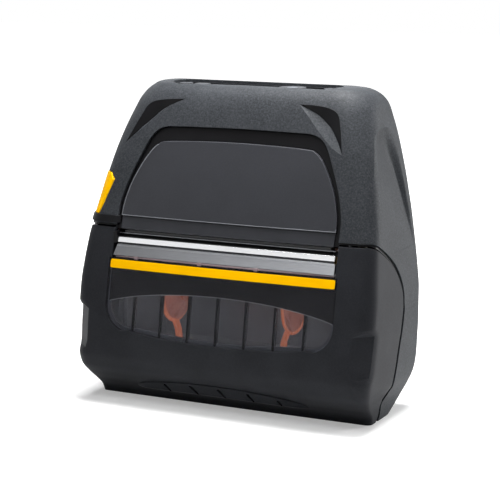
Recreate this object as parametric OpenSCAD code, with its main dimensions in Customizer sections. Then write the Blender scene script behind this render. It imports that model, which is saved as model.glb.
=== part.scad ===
// Portable label printer: a moulded case with a bottom-hinged media cover, platen drive,
// sliding media supports, key panel, latch button and removable battery.
// Frame: X across, Y from the front (negative) to the back, Z up from the base. Millimetres.

/* [Body] */
// Width at the widest part of the sides
body_w = 158; // [154:1:166]
// Depth from the front bumper to the back
body_d = 68.5; // [67:0.5:74]
// Height from the base to the top rim
body_h = 155.5; // [153:0.5:162]
// Wall of the moulded shells
wall = 2.5; // [2.2:0.1:3]
// Gap along the seam between cover and case
seam_gap = 0.7; // [0.4:0.1:1]
// Clearance between fixed pieces
fit_gap = 0.15; // [0.1:0.05:0.3]
// Clearance between pieces that move past each other
move_gap = 0.35; // [0.3:0.05:0.5]
// Depth of the separate back cover's rim
back_rim = 3.75; // [3.25:0.25:4.5]

/* [Media cover] */
// Distance of the hinge pin behind the front bumper
hinge_back = 23.25; // [23:0.25:25]
// Height of the hinge pin
hinge_z = 4.5; // [4.4:0.1:4.8]
// Radius of the hinge pin
hinge_pin_r = 1.2; // [1:0.1:1.4]
// Radial play on turning shafts
shaft_play = 0.05; // [0.02:0.01:0.08]
// Radius of the rounded heel of the cover round its hinge
heel_r = 5.6; // [5.4:0.1:6]
// Height of the seam at the front corners
seam_z = 85.6; // [85.2:0.1:86.4]
// Width of the cheek on each side of the opening
cheek_w = 19.5; // [19:0.1:20]
// Height of the top edge of the window panel
window_top = 71.6; // [71.2:0.1:72]
// Height of the lowest point of the window
window_low = 34.6; // [32:0.1:37]
// Thickness of the window lens
lens_t = 1.8; // [1.4:0.1:1.9]
// Depth of the lens face below the cover's surface
lens_in = 0.3; // [0.2:0.05:0.5]
// Height of the yellow stripe
stripe_h = 4.1; // [3:0.1:4.4]
// Height of the lower edge of the stripe
stripe_z = 66.6; // [65:0.1:67]
// Number of ribs behind the window
rib_count = 7; // [3:2:7]
// Distance between the ribs
rib_pitch = 15.2; // [12:0.1:16]
// Thickness of a rib
rib_t = 1; // [0.8:0.1:1.6]
// Depth of a rib
rib_deep = 2; // [1.5:0.1:2.1]
// Radius of the finger scoops at the corners
scoop_r = 38; // [34:1:44]

/* [Print line] */
// Radius of the rubber platen
platen_r = 5.5; // [5:0.1:5.8]
// Distance from each end of the rubber platen to the cheek
platen_in = 5.5; // [5:0.5:7.5]
// Radius of the platen shaft
shaft_r = 2; // [1.8:0.1:2.2]
// Height of the platen axis
platen_z = 77.5; // [77.2:0.1:77.8]
// Distance of the platen axis behind the front bumper
platen_back = 18.8; // [18.6:0.1:19.2]
// Height of the bright tear bar
tear_h = 2.2; // [2:0.1:2.6]
// Distance between the points of the tear bar
tooth_pitch = 1; // [0.8:0.1:1.5]
// Height of the satin plate below the tear bar
peel_h = 6; // [5:0.1:6.2]
// Thickness of the front metal plates
plate_t = 0.8; // [0.6:0.1:1]

/* [Gears] */
// Module of the platen drive gears
drive_module = 0.5; // [0.48:0.01:0.5]
// Teeth of the platen gear
platen_teeth = 18; // [17:1:18]
// Teeth of the idler gear
idler_teeth = 44; // [40:1:46]
// Teeth of the motor pinion
motor_teeth = 14; // [13:1:16]
// Width of the drive gears
gear_w = 4; // [3:0.5:4.5]
// Backlash taken from each tooth
backlash = 0.12; // [0.08:0.01:0.2]

/* [Media supports] */
// Half of the distance between the supports at rest
support_half = 28.3; // [27:0.1:29]
// Play between a support's shoe at its outer end and the side plate
support_end = 1.2; // [1:0.1:3]
// Radius of a support disc
disc_r = 15; // [13:0.5:15]
// Height of the disc centres
disc_z = 54; // [50:0.5:54.5]
// Distance of the disc centres behind the front bumper
disc_back = 24.25; // [24:0.25:25]
// Module of the rack and pinion
rack_module = 0.8; // [0.75:0.05:0.8]
// Teeth of the support pinion
rack_teeth = 16; // [14:2:16]

/* [Controls] */
// Travel of the keys on top
key_travel = 0.8; // [0.5:0.1:1]
// Length of the recess on top
recess_len = 90; // [88:1:94]
// Width of the recess on top
recess_w = 17; // [16:0.5:17]
// Depth of the recess on top
recess_deep = 2.2; // [2:0.1:3]
// Inward travel of the latch button
latch_travel = 2.5; // [1.5:0.5:2.5]

/* [Battery] */
// Width of the battery pack
battery_w = 84; // [80:1:86]
// Height kept above the battery pack for the key panel
battery_room = 19.5; // [19.5:0.5:23]
// Depth of the battery pack
battery_d = 20; // [18:0.5:20.5]
// Height of the underside of the battery pack
battery_z = 90; // [89.5:0.5:91]

/* [Hidden] */
$fn = 48;
// Names of the pieces

// Segments of a front corner, the bowed front and a rear corner in the body's sections
corner_n = 5;
bow_n = 8;
rear_n = 4;

front_y = -body_d / 2;
rear_y = body_d / 2;
back_y = rear_y - back_rim;
hinge_y = front_y + hinge_back;
platen_y = front_y + platen_back;
disc_y = front_y + disc_back;
mouth_half = body_w / 2 - cheek_w;
platen_len = 2 * (mouth_half - platen_in);
far = 100;

// Sections of the body: height, front lean, rear lean, side lean, front radius, rear radius, bow.
// Below the shoulders the heights are those of a case 155.5 high.
scale_h = body_h / 155.5;
sections = [
  [0, 20, 12.2, 5.8, 3, 16, 0.3],
  [3, 19, 8.8, 5.4, 3, 13.5, 0.3],
  [7, 15.2, 5.6, 4.8, 3, 9, 0.3],
  [12, 9, 2.4, 3.4, 4, 6, 0.3],
  [18, 3, 0.8, 1.6, 6.4, 4.2, 0.3],
  [24, 0.5, 0, 0.8, 9, 3.8, 0.3],
  [27, 0.3, 0, 0.6, 11.2, 3.6, 0.5],
  [32, 0.4, 0, 0.4, 12, 3.5, 0.8],
  [44, 1.9, 0, 0, 12, 3.4, 1.3],
  [46.5, 2.3, 0, 0, 10.8, 3.4, 1.4],
  [49.5, 2.8, 0, 0, 7.4, 3.3, 1.5],
  [58, 4.4, 0, 0, 7.4, 3.2, 1.6],
  [70, 7.1, 0, 0.8, 7.5, 3.8, 1.6],
  [80, 9.7, 0, 1.7, 7.8, 4.6, 1.6],
  [88, 11.9, 0, 2.7, 8.6, 4.9, 1.8],
  [98, 14.9, 0, 4, 10, 5.4, 2.1],
  [110, 18.6, 0, 5.9, 11, 6.2, 2.2],
  [122, 22.5, 0, 8.4, 12, 6.2, 2.2],
  [134, 26.5, 0, 11.5, 13.8, 5.8, 2.2],
  [body_h - 13.5, 29.5, 0.2, 14, 15.4, 5.7, 2.1],
  [body_h - 8.5, 31.7, 0.8, 15.6, 16.6, 5.8, 2],
  [body_h - 5, 33.7, 2.1, 17.6, 17.4, 6, 2],
  [body_h - 2.5, 36, 4.3, 20.2, 17, 6.2, 2],
  [body_h - 0.7, 38.8, 7.3, 24, 13, 5.6, 2],
  [body_h, 41.8, 10.2, 28.5, 9, 5, 2]
];
lower_n = 19;
stations = [for (i = [0:len(sections) - 1]) let (s = sections[i])
  concat([i < lower_n ? s[0] * scale_h : s[0]], [for (k = [1:6]) s[k]])];

function column(k) = [for (s = stations) [s[0], s[k]]];
function section(z) = [z, for (k = [1:6]) lookup(z, column(k))];
function front_at(z) = front_y + lookup(z, column(1));
function side_at(z) = body_w / 2 - lookup(z, column(3));

function arc(cx, cy, r, a0, a1, n) =
  [for (i = [0:n]) let (a = a0 + (a1 - a0) * i / n) [cx + r * cos(a), cy + r * sin(a)]];
function bezier(a, b, c, d, n) = [
  for (i = [0:n]) let (t = i / n, u = 1 - t)
    u * u * u * a + 3 * t * u * u * b + 3 * t * t * u * c + t * t * t * d
];
function mirrored(half) =
  concat(half, [for (i = [len(half) - 1:-1:0]) [-half[i][0], half[i][1]]]);

// Outline of one section, drawn in by t
function ring(s, t) =
  let (
    w = body_w / 2 - s[3] - t,
    f = front_y + s[1] + t,
    r = rear_y - s[2] - t,
    rf = max(s[4] - t, 0.6),
    rr = max(s[5] - t, 0.6),
    xf = w - rf,
    bow = s[6]
  )
  concat(
    arc(-xf, f + bow + rf, rf, 180, 270, corner_n),
    [for (i = [1:bow_n - 1]) let (x = xf * (2 * i / bow_n - 1)) [x, f + bow * pow(x / xf, 2)]],
    arc(xf, f + bow + rf, rf, 270, 360, corner_n),
    arc(w - rr, r - rr, rr, 0, 90, rear_n),
    arc(rr - w, r - rr, rr, 90, 180, rear_n)
  );

// Closed skin through the outlines of the given sections
module loft(rows, t) {
  rings = [for (s = rows) ring(s, t)];
  n = len(rings[0]);
  m = len(rows);
  points = [for (k = [0:m - 1]) for (p = rings[k]) [p[0], p[1], rows[k][0]]];
  sides = [
    for (k = [0:m - 2]) for (i = [0:n - 1])
      let (a = k * n + i, b = k * n + (i + 1) % n)
      for (f = [[a, a + n, b + n], [a, b + n, b]]) f
  ];
  floor_face = [for (i = [0:n - 1]) i];
  top_face = [for (i = [n - 1:-1:0]) (m - 1) * n + i];
  polyhedron(points, concat([floor_face], sides, [top_face]));
}
// Slice of the body between two heights, drawn in by t
function rows(z0, z1) =
  concat([section(z0)], [for (s = stations) if (s[0] > z0 + 0.2 && s[0] < z1 - 0.2) s], [section(z1)]);
module slice(z0, z1, t) loft(rows(z0, z1), t);
// Skin of the front between two depths below the surface
module front_skin(z0, z1, outer_t, inner_t) {
  intersection() {
    difference() {
      slice(z0, z1, outer_t);
      slice(z0 - 1, z1 + 1, inner_t);
    }
    translate([-far, -far, -1]) cube([2 * far, far + front_at(z1) + 9, 2 * far]);
  }
}
module body_form() loft(stations, 0);
module hollow_form() slice(wall, body_h - wall, wall);

// Extrusions: a side view along X, and a front view along Y
module along_x(x0, x1) translate([x0, 0, 0]) rotate([90, 0, 90]) linear_extrude(x1 - x0) children();
module along_y(y0, y1) translate([0, y1, 0]) rotate([90, 0, 0]) linear_extrude(y1 - y0) children();
module rod_x(x0, x1, y, z, r) translate([x0, y, z]) rotate([0, 90, 0]) cylinder(h = x1 - x0, r = r);
module rod_y(y0, y1, x, z, r) translate([x, y0, z]) rotate([-90, 0, 0]) cylinder(h = y1 - y0, r = r);
module box(x0, x1, y0, y1, z0, z1) translate([x0, y0, z0]) cube([x1 - x0, y1 - y0, z1 - z0]);
module both_sides() {
  children();
  mirror([1, 0, 0]) children();
}
module rounded(w, d, r) {
  square([w - 2 * r, d], center = true);
  square([w, d - 2 * r], center = true);
  for (x = [-1, 1]) for (y = [-1, 1]) translate([x * (w / 2 - r), y * (d / 2 - r)]) circle(r);
}

// Side view of the space the media cover takes, grown by g past its seam
belly = [front_y + 45.25, 53];
foot = [front_y + 37.25, 15.5];
heel = [front_y + 29.45, 11];
brow = [front_y + 15.25, seam_z];
function moved(points, v) = [for (p = points) p + v];
function cover_zone(g) = concat(
  [[-far, -10], [-far, seam_z + g]],
  moved(bezier(brow, brow + [17.5, -8.6], belly + [0, 15.5], belly, 8), g * [0.7, 0.8]),
  moved(bezier(belly, belly - [0, 6], foot + [-0.5, 12], foot, 6), g * [1, -0.2]),
  [heel + g * [0.6, -0.8]],
  arc(hinge_y, hinge_z, heel_r + g, 20, -90, 10),
  [[hinge_y, -10]]
);

// Front views: the window, its clear part, the panel and the frame round it
window_half = mouth_half + 0.8;
function window_half_outline(t) = [
  [window_half - t, window_top],
  [window_half - t, 54],
  for (p = arc(window_half - 12, 49, 12 - t, 0, -75, 6)) p,
  [window_half - 27.3, window_low + 1.6 + t],
  [window_half - 43.3, window_low + 0.4 + t],
  [0, window_low + t]
];
function window_outline(t) = mirrored(window_half_outline(t));
// Lower edge of the printed band, an arc that is high in the middle
function band_edge() = bezier([-window_half, 50.2], [-window_half / 2, 59.6],
  [window_half / 2, 59.6], [window_half, 50.2], 12);
// Outlines of the panel and its frame: distance in from the cheek, height above the seam
panel_edge = [[2.5, 6], [2.7, 10.4], [3.6, 15.4], [5.3, 21.4], [7.9, 27.4], [10.9, 32.9], [14.3, 37.8],
  [17.7, 40.8], [22.5, 42.1], [41.5, 43]];
frame_edge = [[0.5, -0.3], [0.5, 9.4], [1.5, 15.4], [3.3, 21.9], [5.5, 27.9], [8.3, 34.4],
  [11.7, 41.8], [14.9, 46.2], [19.5, 48.6], [27.5, 49.3]];
face_scale = (body_h - seam_z) / 69.9;
function half_outline(edge, rise) =
  let (
    side = [for (p = edge) [mouth_half - p[0], seam_z + (p[1] > 9 ? p[1] * face_scale : p[1])]],
    n = len(side) - 1
  )
  concat([[0, side[0][1]]], side, [[0, side[n][1] + rise]]);
panel_half = half_outline(panel_edge, 0.3);
frame_half = half_outline(frame_edge, 0.5);
function frame_grown(g) = [for (p = frame_half) [p[0] == 0 ? 0 : p[0] + g, p[1] + (p[1] > 90 ? g : 0)]];

// Spur gear outline by the involute of its base circle, and the matching rack
pressure = 20;
function involute_turn(t) = t - atan(t * PI / 180);
function gear_tooth(n, m, play) =
  let (
    r = n * m / 2,
    rb = r * cos(pressure),
    ra = r + 0.95 * m,
    rf = r - 1.2 * m,
    t_end = sqrt(pow(ra / rb, 2) - 1) * 180 / PI,
    t_root = rf > rb ? sqrt(pow(rf / rb, 2) - 1) * 180 / PI : 0,
    t_pitch = tan(pressure) * 180 / PI,
    side = 90 / n - play / r * 45 / PI + involute_turn(t_pitch),
    flank = [for (i = [0:3]) let (t = t_root + (t_end - t_root) * i / 3)
      [rb * sqrt(1 + pow(t * PI / 180, 2)), involute_turn(t) - side]]
  )
  concat([[rf, -side + involute_turn(t_root)]], flank,
    [for (i = [3:-1:0]) [flank[i][0], -flank[i][1]]], [[rf, side - involute_turn(t_root)]]);
function gear_outline(n, m, play, turn) = [
  for (k = [0:n - 1]) for (p = gear_tooth(n, m, play))
    let (a = p[1] + k * 360 / n + turn) p[0] * [cos(a), sin(a)]
];

// Platen drive: pitch radii, centres and the turn of each gear that brings it into mesh
platen_pitch = drive_module * platen_teeth / 2;
idler_pitch = drive_module * idler_teeth / 2;
motor_pitch = drive_module * motor_teeth / 2;
idler_angle = 8;
motor_angle = 70;
idler_at = [platen_y, platen_z] + (platen_pitch + idler_pitch) * [cos(idler_angle), sin(idler_angle)];
motor_at = idler_at + (idler_pitch + motor_pitch) * [cos(motor_angle), sin(motor_angle)];
platen_turn = idler_angle;
idler_turn = idler_angle + 180 - 180 / idler_teeth;
motor_turn = motor_angle + 180 - (idler_turn - motor_angle) * idler_teeth / motor_teeth
  - 180 / motor_teeth;
// Gears and hooks run outside the chassis plates
plate_half = mouth_half + 0.5;
plate_w = 1.5;
hook_x = plate_half + plate_w + 0.5;
hook_w = 1.2;
gear_x = hook_x + hook_w + 0.8;

// Media bay and the parts round it
floor_z = 21;
floor_t = 1.5;
bay_back = rear_y - 4.85;
bay_top = 80.5;
tray_half = plate_half;
rack_pitch_r = rack_module * rack_teeth / 2;
rack_z = 12.35;
rack_t = 3;
rack_bar = 2.8;
slot_half = 3;
stem_w = 2.2;
stem_d = 4;
shoe_half = 3.5;
support_out = plate_half - shoe_half - support_end - support_half;

// Print head stack, from the platen's crown up
head_z = platen_z + platen_r + 0.3;
head_len = platen_len + 2;
head_front = front_at(head_z) + 3.5;
head_t = 1.2;
sink_t = 4.3;
bracket_t = 1.2;
bracket_z = head_z + head_t + sink_t;
spring_r = 1.8;
spring_x = 30;
beam_z = bracket_z + bracket_t + 7;
beam_y = platen_y + 3.45;
beam_half = 2.2;

// Latch: hooks turn on a rod across the case
latch_y = platen_y + 7.15;
latch_z = bracket_z + bracket_t + 1.85;
latch_rod_r = 1.5;
button_dir = 36.87;
button_low = 91.5;
button_high = 111;
button_z = (button_low + button_high) / 2;
button_corner = sin(button_dir) * side_at(button_z) + cos(button_dir) * front_at(button_z);
button_front = button_corner - 3;
button_mid = button_corner + 4;
button_rear = button_corner + 13;
button_proud = 0.3;
button_path_end = 29 - body_w / 2;
button_deep = 2.2;
button_end = (sin(button_dir) * button_mid - side_at(button_z)) / cos(button_dir) + 6.45;
seat_x = (sin(button_dir) * button_mid - plate_half - plate_w) / cos(button_dir) - 1.95;

// Key panel
recess_y = front_y + 40 + recess_w / 2;
panel_floor = body_h - recess_deep;
panel_floor_t = 1.5;
tray_wall = 1.2;
key_top = panel_floor + 1.1;
key_flange_z = panel_floor - panel_floor_t - move_gap;
key_flange_t = 1;
board_top = key_flange_z - key_flange_t - key_travel - 0.6;
board_t = 1.2;
power_x = -recess_len / 2 + 6;
menu_x = power_x + 9;
display_x0 = menu_x + 6;
display_w = 32;
display_d = 12;
nav_x = display_x0 + display_w + 11;
feed_x = recess_len / 2 - 6;
round_key_r = 3.3;
nav_r = 6.6;
select_r = 2.8;

// Battery bay
battery_y = rear_y - 0.25 - battery_d;
battery_h = body_h - battery_room - battery_z;
tray_t = 1.2;
tray_play = 0.4;
latch_tab_w = 16;
latch_tab_z = battery_z + battery_h + 1;
latch_tab_h = 4.4;
latch_tab_travel = 1.5;

// Port opening in the back, and the boards
port_x1 = body_w / 2 - 7.2;
port_x0 = port_x1 - 8;
port_z0 = 38;
port_z1 = 62;
port_t = 1.4;
io_x = port_x1 - 2.4;
screw_z = [26, 74, 128];
screw_in = 11;
screw_r = 1.25;
clip_x = 20;
clip_z = 62;
clip_deep = 3.3;
insert_r = 2.3;
insert_bore = 1.25;
board_y = battery_y - 6.75;
board_h = 42;
board_w = 84;
board_z = board_top - board_t - 2 - board_h;

module zone(g) along_x(-far, far) polygon(cover_zone(g));

// Outline of the latch button, pushed in along a slanting line from the corner
module button_path(g, x0, x1) {
  rotate([0, 0, button_dir])
    along_x(x0, x1) polygon([
      [button_front - g, button_low + 3 - g], [button_front - g, button_high - 3 + g],
      [button_front + 3, button_high + g], [button_rear + g, button_high + g],
      [button_rear + g, button_low - g], [button_front + 3, button_low - g]
    ]);
}
module corner_scoops() {
  both_sides() translate([side_at(40) - 9, front_at(40), 40.5]) rotate([0, 0, 9]) along_x(-14, 30)
    polygon(concat(arc(1.9 - scoop_r, 0, scoop_r, -30, 30, 12), [[-scoop_r, 20], [-scoop_r, -20]]));
}
module screw_places() {
  for (z = screw_z) both_sides() translate([side_at(z) - screw_in, 0, z]) children();
}

module main_housing() {
  color("#3c3e42") {
    difference() {
      body_form();
      hollow_form();
      zone(seam_gap);
      box(-far, far, back_y, far, -1, 2 * far);
      along_y(-far, front_y + 42) polygon(mirrored(frame_grown(fit_gap)));
      translate([0, recess_y, body_h - 10]) linear_extrude(20)
        rounded(recess_len, recess_w, 8);
      button_path(move_gap + 0.1, -far, button_path_end);
      box(-10 - fit_gap, 10 + fit_gap, 7 - fit_gap, 13 + fit_gap, -1, wall + 1);
    }
    // Lugs for the hinge pin, on webs from the base
    both_sides() hinge_lug(outer_lug, outer_lug + lug_w);
    both_sides() hinge_lug(inner_lug, inner_lug + lug_w);
    // Bosses for the case screws
    intersection() {
      screw_places() difference() {
        union() {
          rod_y(back_y - 12, back_y - 0.2, 0, 0, 3.2);
          box(0, screw_in, back_y - 12, back_y - 0.2, -1.2, 1.2);
        }
        rod_y(back_y - 9, back_y + 1, 0, 0, screw_r);
      }
      body_form();
    }
  }
}
// Places of the hinge lugs along the pin
lug_w = 8;
lug_play = 0.5;
outer_lug = body_w / 2 - 17;
inner_lug = 21.5;
module hinge_lug(x0, x1) {
  difference() {
    union() {
      rod_x(x0, x1, hinge_y, hinge_z, 2.8);
      box(x0, x1, hinge_y, hinge_y + heel_r + seam_gap + 4, hinge_z - 0.6, hinge_z + 1.8);
      box(x0, x1, hinge_y + heel_r + seam_gap + 0.5, hinge_y + heel_r + seam_gap + 4, wall - 1,
        hinge_z + 1.8);
    }
    rod_x(x0 - 1, x1 + 1, hinge_y, hinge_z, hinge_pin_r);
  }
}

module back_cover() {
  color("#47494d") difference() {
    union() {
      difference() {
        body_form();
        hollow_form();
        box(-far, far, -far, back_y + fit_gap, -1, 2 * far);
      }
      both_sides() rod_y(bay_back + 1.3, rear_y - 1, clip_x, clip_z, 4);
    }
    box(-battery_w / 2 - tray_play, battery_w / 2 + tray_play, back_y - 1, far,
      battery_z - tray_play, battery_z + battery_h + tray_play);
    box(-latch_tab_w / 2 - move_gap, latch_tab_w / 2 + move_gap, back_y - 1, far,
      latch_tab_z - 1, latch_tab_z + latch_tab_h + latch_tab_travel + move_gap);
    box(port_x0 - move_gap, port_x1 + move_gap, back_y - 1, far, port_z0 - move_gap, port_z1 + move_gap);
    both_sides() rod_y(rear_y - clip_deep, far, clip_x, clip_z, insert_r);
    screw_places() {
      rod_y(back_y - 1, far, 0, 0, screw_r + 0.25);
      rod_y(rear_y - 1.6, far, 0, 0, 2.8);
    }
  }
}
module case_screws() {
  color("#2a2a2c") screw_places() difference() {
    union() {
      rod_y(back_y - 8, rear_y - 1.6, 0, 0, screw_r);
      rod_y(rear_y - 1.6, rear_y - 0.2, 0, 0, 2.5);
    }
    translate([0, rear_y - 1, 0]) rotate([-90, 30, 0]) cylinder(h = 2, r = 1.3, $fn = 6);
  }
}
module clip_inserts() {
  color("#b58b3c") both_sides() difference() {
    rod_y(rear_y - clip_deep, rear_y, clip_x, clip_z, insert_r);
    rod_y(rear_y - clip_deep - 1, far, clip_x, clip_z, insert_bore);
  }
}

// Frame behind the panel, the bare panel and the guard above the paper exit
bezel_in = 1.6;
bezel_t = 1.2;
panel_in = 0.2;
guard_in = 0.9;
frame_low = frame_half[0][1];
frame_top = frame_half[len(frame_half) - 1][1];
panel_low = panel_half[0][1];
panel_top = panel_half[len(panel_half) - 1][1];
guard_top = panel_low - 0.4;
guard_half = panel_half[1][0] - 0.4;
module front_bezel() {
  color("#151517") intersection() {
    front_skin(frame_low - 0.3, frame_top + 1, bezel_in, bezel_in + bezel_t);
    along_y(-far, far) polygon(mirrored(frame_grown(0)));
  }
}
module front_panel() {
  color("#3a3c40") intersection() {
    front_skin(panel_low - 0.6, panel_top + 1, panel_in, bezel_in - 0.05);
    along_y(-far, far) polygon(mirrored(panel_half));
  }
}
module exit_guard() {
  color("#26272a") intersection() {
    front_skin(frame_low, guard_top, guard_in, bezel_in - 0.05);
    box(-guard_half, guard_half, -far, far, frame_low - 1, guard_top);
  }
}

// Key panel in the top recess
module key_shapes(g) {
  translate([power_x, 0]) circle(round_key_r + g);
  translate([menu_x, 0]) rounded(7 + 2 * g, 6 + 2 * g, 1.5 + g);
  translate([nav_x, 0]) circle(nav_r + g);
  translate([feed_x, 0]) circle(round_key_r + g);
}
module top_panel() {
  color("#1b1c1e") translate([0, recess_y, 0]) {
    difference() {
      translate([0, 0, panel_floor - panel_floor_t]) linear_extrude(panel_floor_t + recess_deep - 1.4)
        rounded(recess_len - 2 * fit_gap, recess_w - 2 * fit_gap, 8 - fit_gap);
      translate([0, 0, panel_floor]) linear_extrude(10)
        rounded(recess_len - 2 * tray_wall, recess_w - 2 * tray_wall, 8 - tray_wall);
      translate([0, 0, panel_floor - 5]) linear_extrude(10) {
        key_shapes(move_gap);
        translate([display_x0 + display_w / 2, 0]) square([display_w - 2, display_d - 2], center = true);
      }
      translate([display_x0, -display_d / 2, panel_floor - 0.8]) cube([display_w, display_d, 5]);
    }
    for (x = [-1, 1]) for (y = [-1, 1])
      translate([x * (recess_len / 2 - 4), y * (recess_w / 2 - 2.6), board_top])
        cylinder(h = panel_floor - panel_floor_t - board_top + 0.1, r = 1.2);
  }
}
module display_lens() {
  color("#0e1418") translate([display_x0 + fit_gap, recess_y - display_d / 2 + fit_gap, panel_floor - 0.8])
    cube([display_w - 2 * fit_gap, display_d - 2 * fit_gap, 1]);
}
module display_module() {
  color("#8f9498") translate([display_x0 + 1.3, recess_y - display_d / 2 + 1.3, board_top])
    cube([display_w - 2.6, display_d - 2.6, panel_floor - 0.8 - board_top]);
}
module key_board() {
  color("#1f5f3a") translate([0, recess_y, board_top - board_t]) linear_extrude(board_t)
    rounded(recess_len - 2, recess_w - 1, 3);
}
module key_cap(x) {
  translate([x, recess_y, key_flange_z - key_flange_t])
    linear_extrude(key_top - key_flange_z + key_flange_t) children();
}
module key_flange(x) {
  translate([x, recess_y, key_flange_z - key_flange_t]) linear_extrude(key_flange_t) children();
}
module power_key() {
  color("#3b3d42") {
    key_cap(power_x) circle(round_key_r);
    key_flange(power_x) circle(round_key_r + 0.8);
  }
}
module menu_key() {
  color("#3b3d42") {
    key_cap(menu_x) rounded(7, 6, 1.5);
    key_flange(menu_x) rounded(8, 7, 1.8);
  }
}
module nav_ring() {
  color("#3b3d42") difference() {
    union() {
      key_cap(nav_x) circle(nav_r);
      key_flange(nav_x) circle(nav_r + 0.5);
    }
    translate([nav_x, recess_y, body_h - 20]) cylinder(h = 40, r = select_r + move_gap);
  }
}
module select_key() {
  color("#55585e") key_cap(nav_x) circle(select_r);
}
module feed_key() {
  color("#3b3d42") {
    key_cap(feed_x) circle(round_key_r);
    key_flange(feed_x) circle(round_key_r + 0.8);
  }
}

// Steel frame of the media bay
module side_plate() {
  difference() {
    along_x(plate_half, plate_half + plate_w) polygon([
      [platen_y + 4.25, rack_z - 1.35], [bay_back - 4, rack_z - 1.35], [bay_back + 1, floor_z - 1],
      [bay_back + 1, bay_top + 3.5],
      [motor_at[0] + 10, bay_top + 6], [motor_at[0] + 10, motor_at[1] + 10.5],
      [latch_y - 2.5, motor_at[1] + 10.5], [latch_y - 2.5, bay_top + 6],
      [platen_y + 4.25, bay_top + 1.5]
    ]);
    rod_x(plate_half - 1, plate_half + 3, latch_y, latch_z, latch_rod_r + shaft_play);
  }
}
module chassis() {
  color("#9a9ca0") difference() {
    union() {
      both_sides() side_plate();
      // Seat of the button's spring on the left plate
      box(-plate_half - plate_w, -plate_half, latch_y + 1.5, latch_y + 11, 96, button_high - 6);
      rotate([0, 0, button_dir]) box(seat_x, seat_x + 2.7, button_mid - 3.4, button_mid + 3.4,
        button_low + 7, button_high - 6.5);
      box(-plate_half - 1, plate_half + 1, disc_y - 10.3, bay_back + 1, floor_z, floor_z + floor_t);
      box(-plate_half - 1, plate_half + 1, bay_back, bay_back + 1, floor_z, bay_top + 1);
      box(-plate_half - 1, plate_half + 1, latch_y + 6, bay_back + 1, bay_top, bay_top + floor_t);
    }
    for (s = [-1, 1]) {
      x0 = support_half - stem_w / 2 - 1.2;
      x1 = support_half + support_out + stem_w / 2 + 1.2;
      box(min(s * x0, s * x1), max(s * x0, s * x1), disc_y - slot_half, disc_y + slot_half,
        floor_z - 1, floor_z + floor_t + 1);
    }
    rod_x(plate_half - 1, plate_half + 3, motor_at[0], motor_at[1], 2.6);
    rod_x(plate_half - 1, plate_half + 3, idler_at[0], idler_at[1], 1.5);
  }
}
module head_beam() {
  color("#85878b") box(-plate_half, plate_half, beam_y - beam_half, beam_y + beam_half,
    beam_z, beam_z + 1.8);
}
module rack_tray() {
  color("#2b2c2f") {
    box(-tray_half, tray_half, disc_y - 10.3, disc_y + 10.3, rack_z - 1.35, rack_z - 0.35);
    for (s = [-1, 1])
      box(-tray_half, tray_half, disc_y + s * 9.9 - 0.4, disc_y + s * 9.9 + 0.4, rack_z - 1.35, floor_z);
    translate([0, disc_y, rack_z - 1]) cylinder(h = rack_t + 1.2, r = 1.5);
  }
}

// A support slides on its shoe; its rack runs past the pinion on the side given by s
module support(s) {
  x = s * support_half;
  // Disc with a raised rim and a hub, on a stem that rises from the shoe
  difference() {
    union() {
      rod_x(x - 0.6, x + 0.6, disc_y, disc_z, disc_r - 0.8);
      difference() {
        rod_x(x - 1.3, x + 1.3, disc_y, disc_z, disc_r);
        rod_x(x - 3, x + 3, disc_y, disc_z, disc_r - 1.3);
      }
      rod_x(x - 1.8, x + 1.8, disc_y, disc_z, 4);
      box(x - stem_w / 2, x + stem_w / 2, disc_y - stem_d / 2, disc_y + stem_d / 2,
        rack_z + rack_t + 1, disc_z - disc_r + 1.2);
    }
    rod_x(x - 4, x + 4, disc_y, disc_z, 2.2);
  }
  box(x - shoe_half, x + shoe_half, disc_y - 9.2, disc_y + 9.2, rack_z + rack_t + 0.35, floor_z - 0.35);
  // Rack with straight flanks, a gap opposite the pinion at rest
  pitch = PI * rack_module;
  add = 0.85 * rack_module;
  ded = 1.2 * rack_module;
  half_tooth = pitch / 4 - backlash / 2;
  lean = tan(pressure);
  k0 = -ceil((support_out + 8) / pitch);
  k1 = floor((support_half + 2) / pitch);
  bar_x0 = k0 * pitch;
  bar_x1 = k1 * pitch;
  translate([0, disc_y, rack_z]) mirror([s < 0 ? 1 : 0, 0, 0]) mirror([0, s < 0 ? 1 : 0, 0])
    linear_extrude(rack_t) polygon(concat(
      [[bar_x0, rack_pitch_r + rack_bar], [bar_x0, rack_pitch_r + ded]],
      [for (k = [k0:k1 - 1]) let (c = (k + 0.5) * pitch) for (p = [
        [c - half_tooth - ded * lean, rack_pitch_r + ded],
        [c - half_tooth + add * lean, rack_pitch_r - add],
        [c + half_tooth - add * lean, rack_pitch_r - add],
        [c + half_tooth + ded * lean, rack_pitch_r + ded]
      ]) p],
      [[bar_x1, rack_pitch_r + ded], [bar_x1, rack_pitch_r + rack_bar]]
    ));
  // Web that joins the shoe to its rack
  box(x - 2, x + 2, disc_y + s * (rack_pitch_r + 2.1) - 0.7, disc_y + s * (rack_pitch_r + 2.1) + 0.7,
    rack_z + 1, rack_z + rack_t + 1);
}
module support_left() { color("#c9704d") support(-1); }
module support_right() { color("#c9704d") support(1); }
module support_pinion() {
  color("#d8d6cf") translate([0, disc_y, rack_z]) difference() {
    linear_extrude(rack_t) polygon(gear_outline(rack_teeth, rack_module, backlash, 90));
    translate([0, 0, -1]) cylinder(h = rack_t + 2, r = 1.5 + shaft_play);
  }
}

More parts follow.
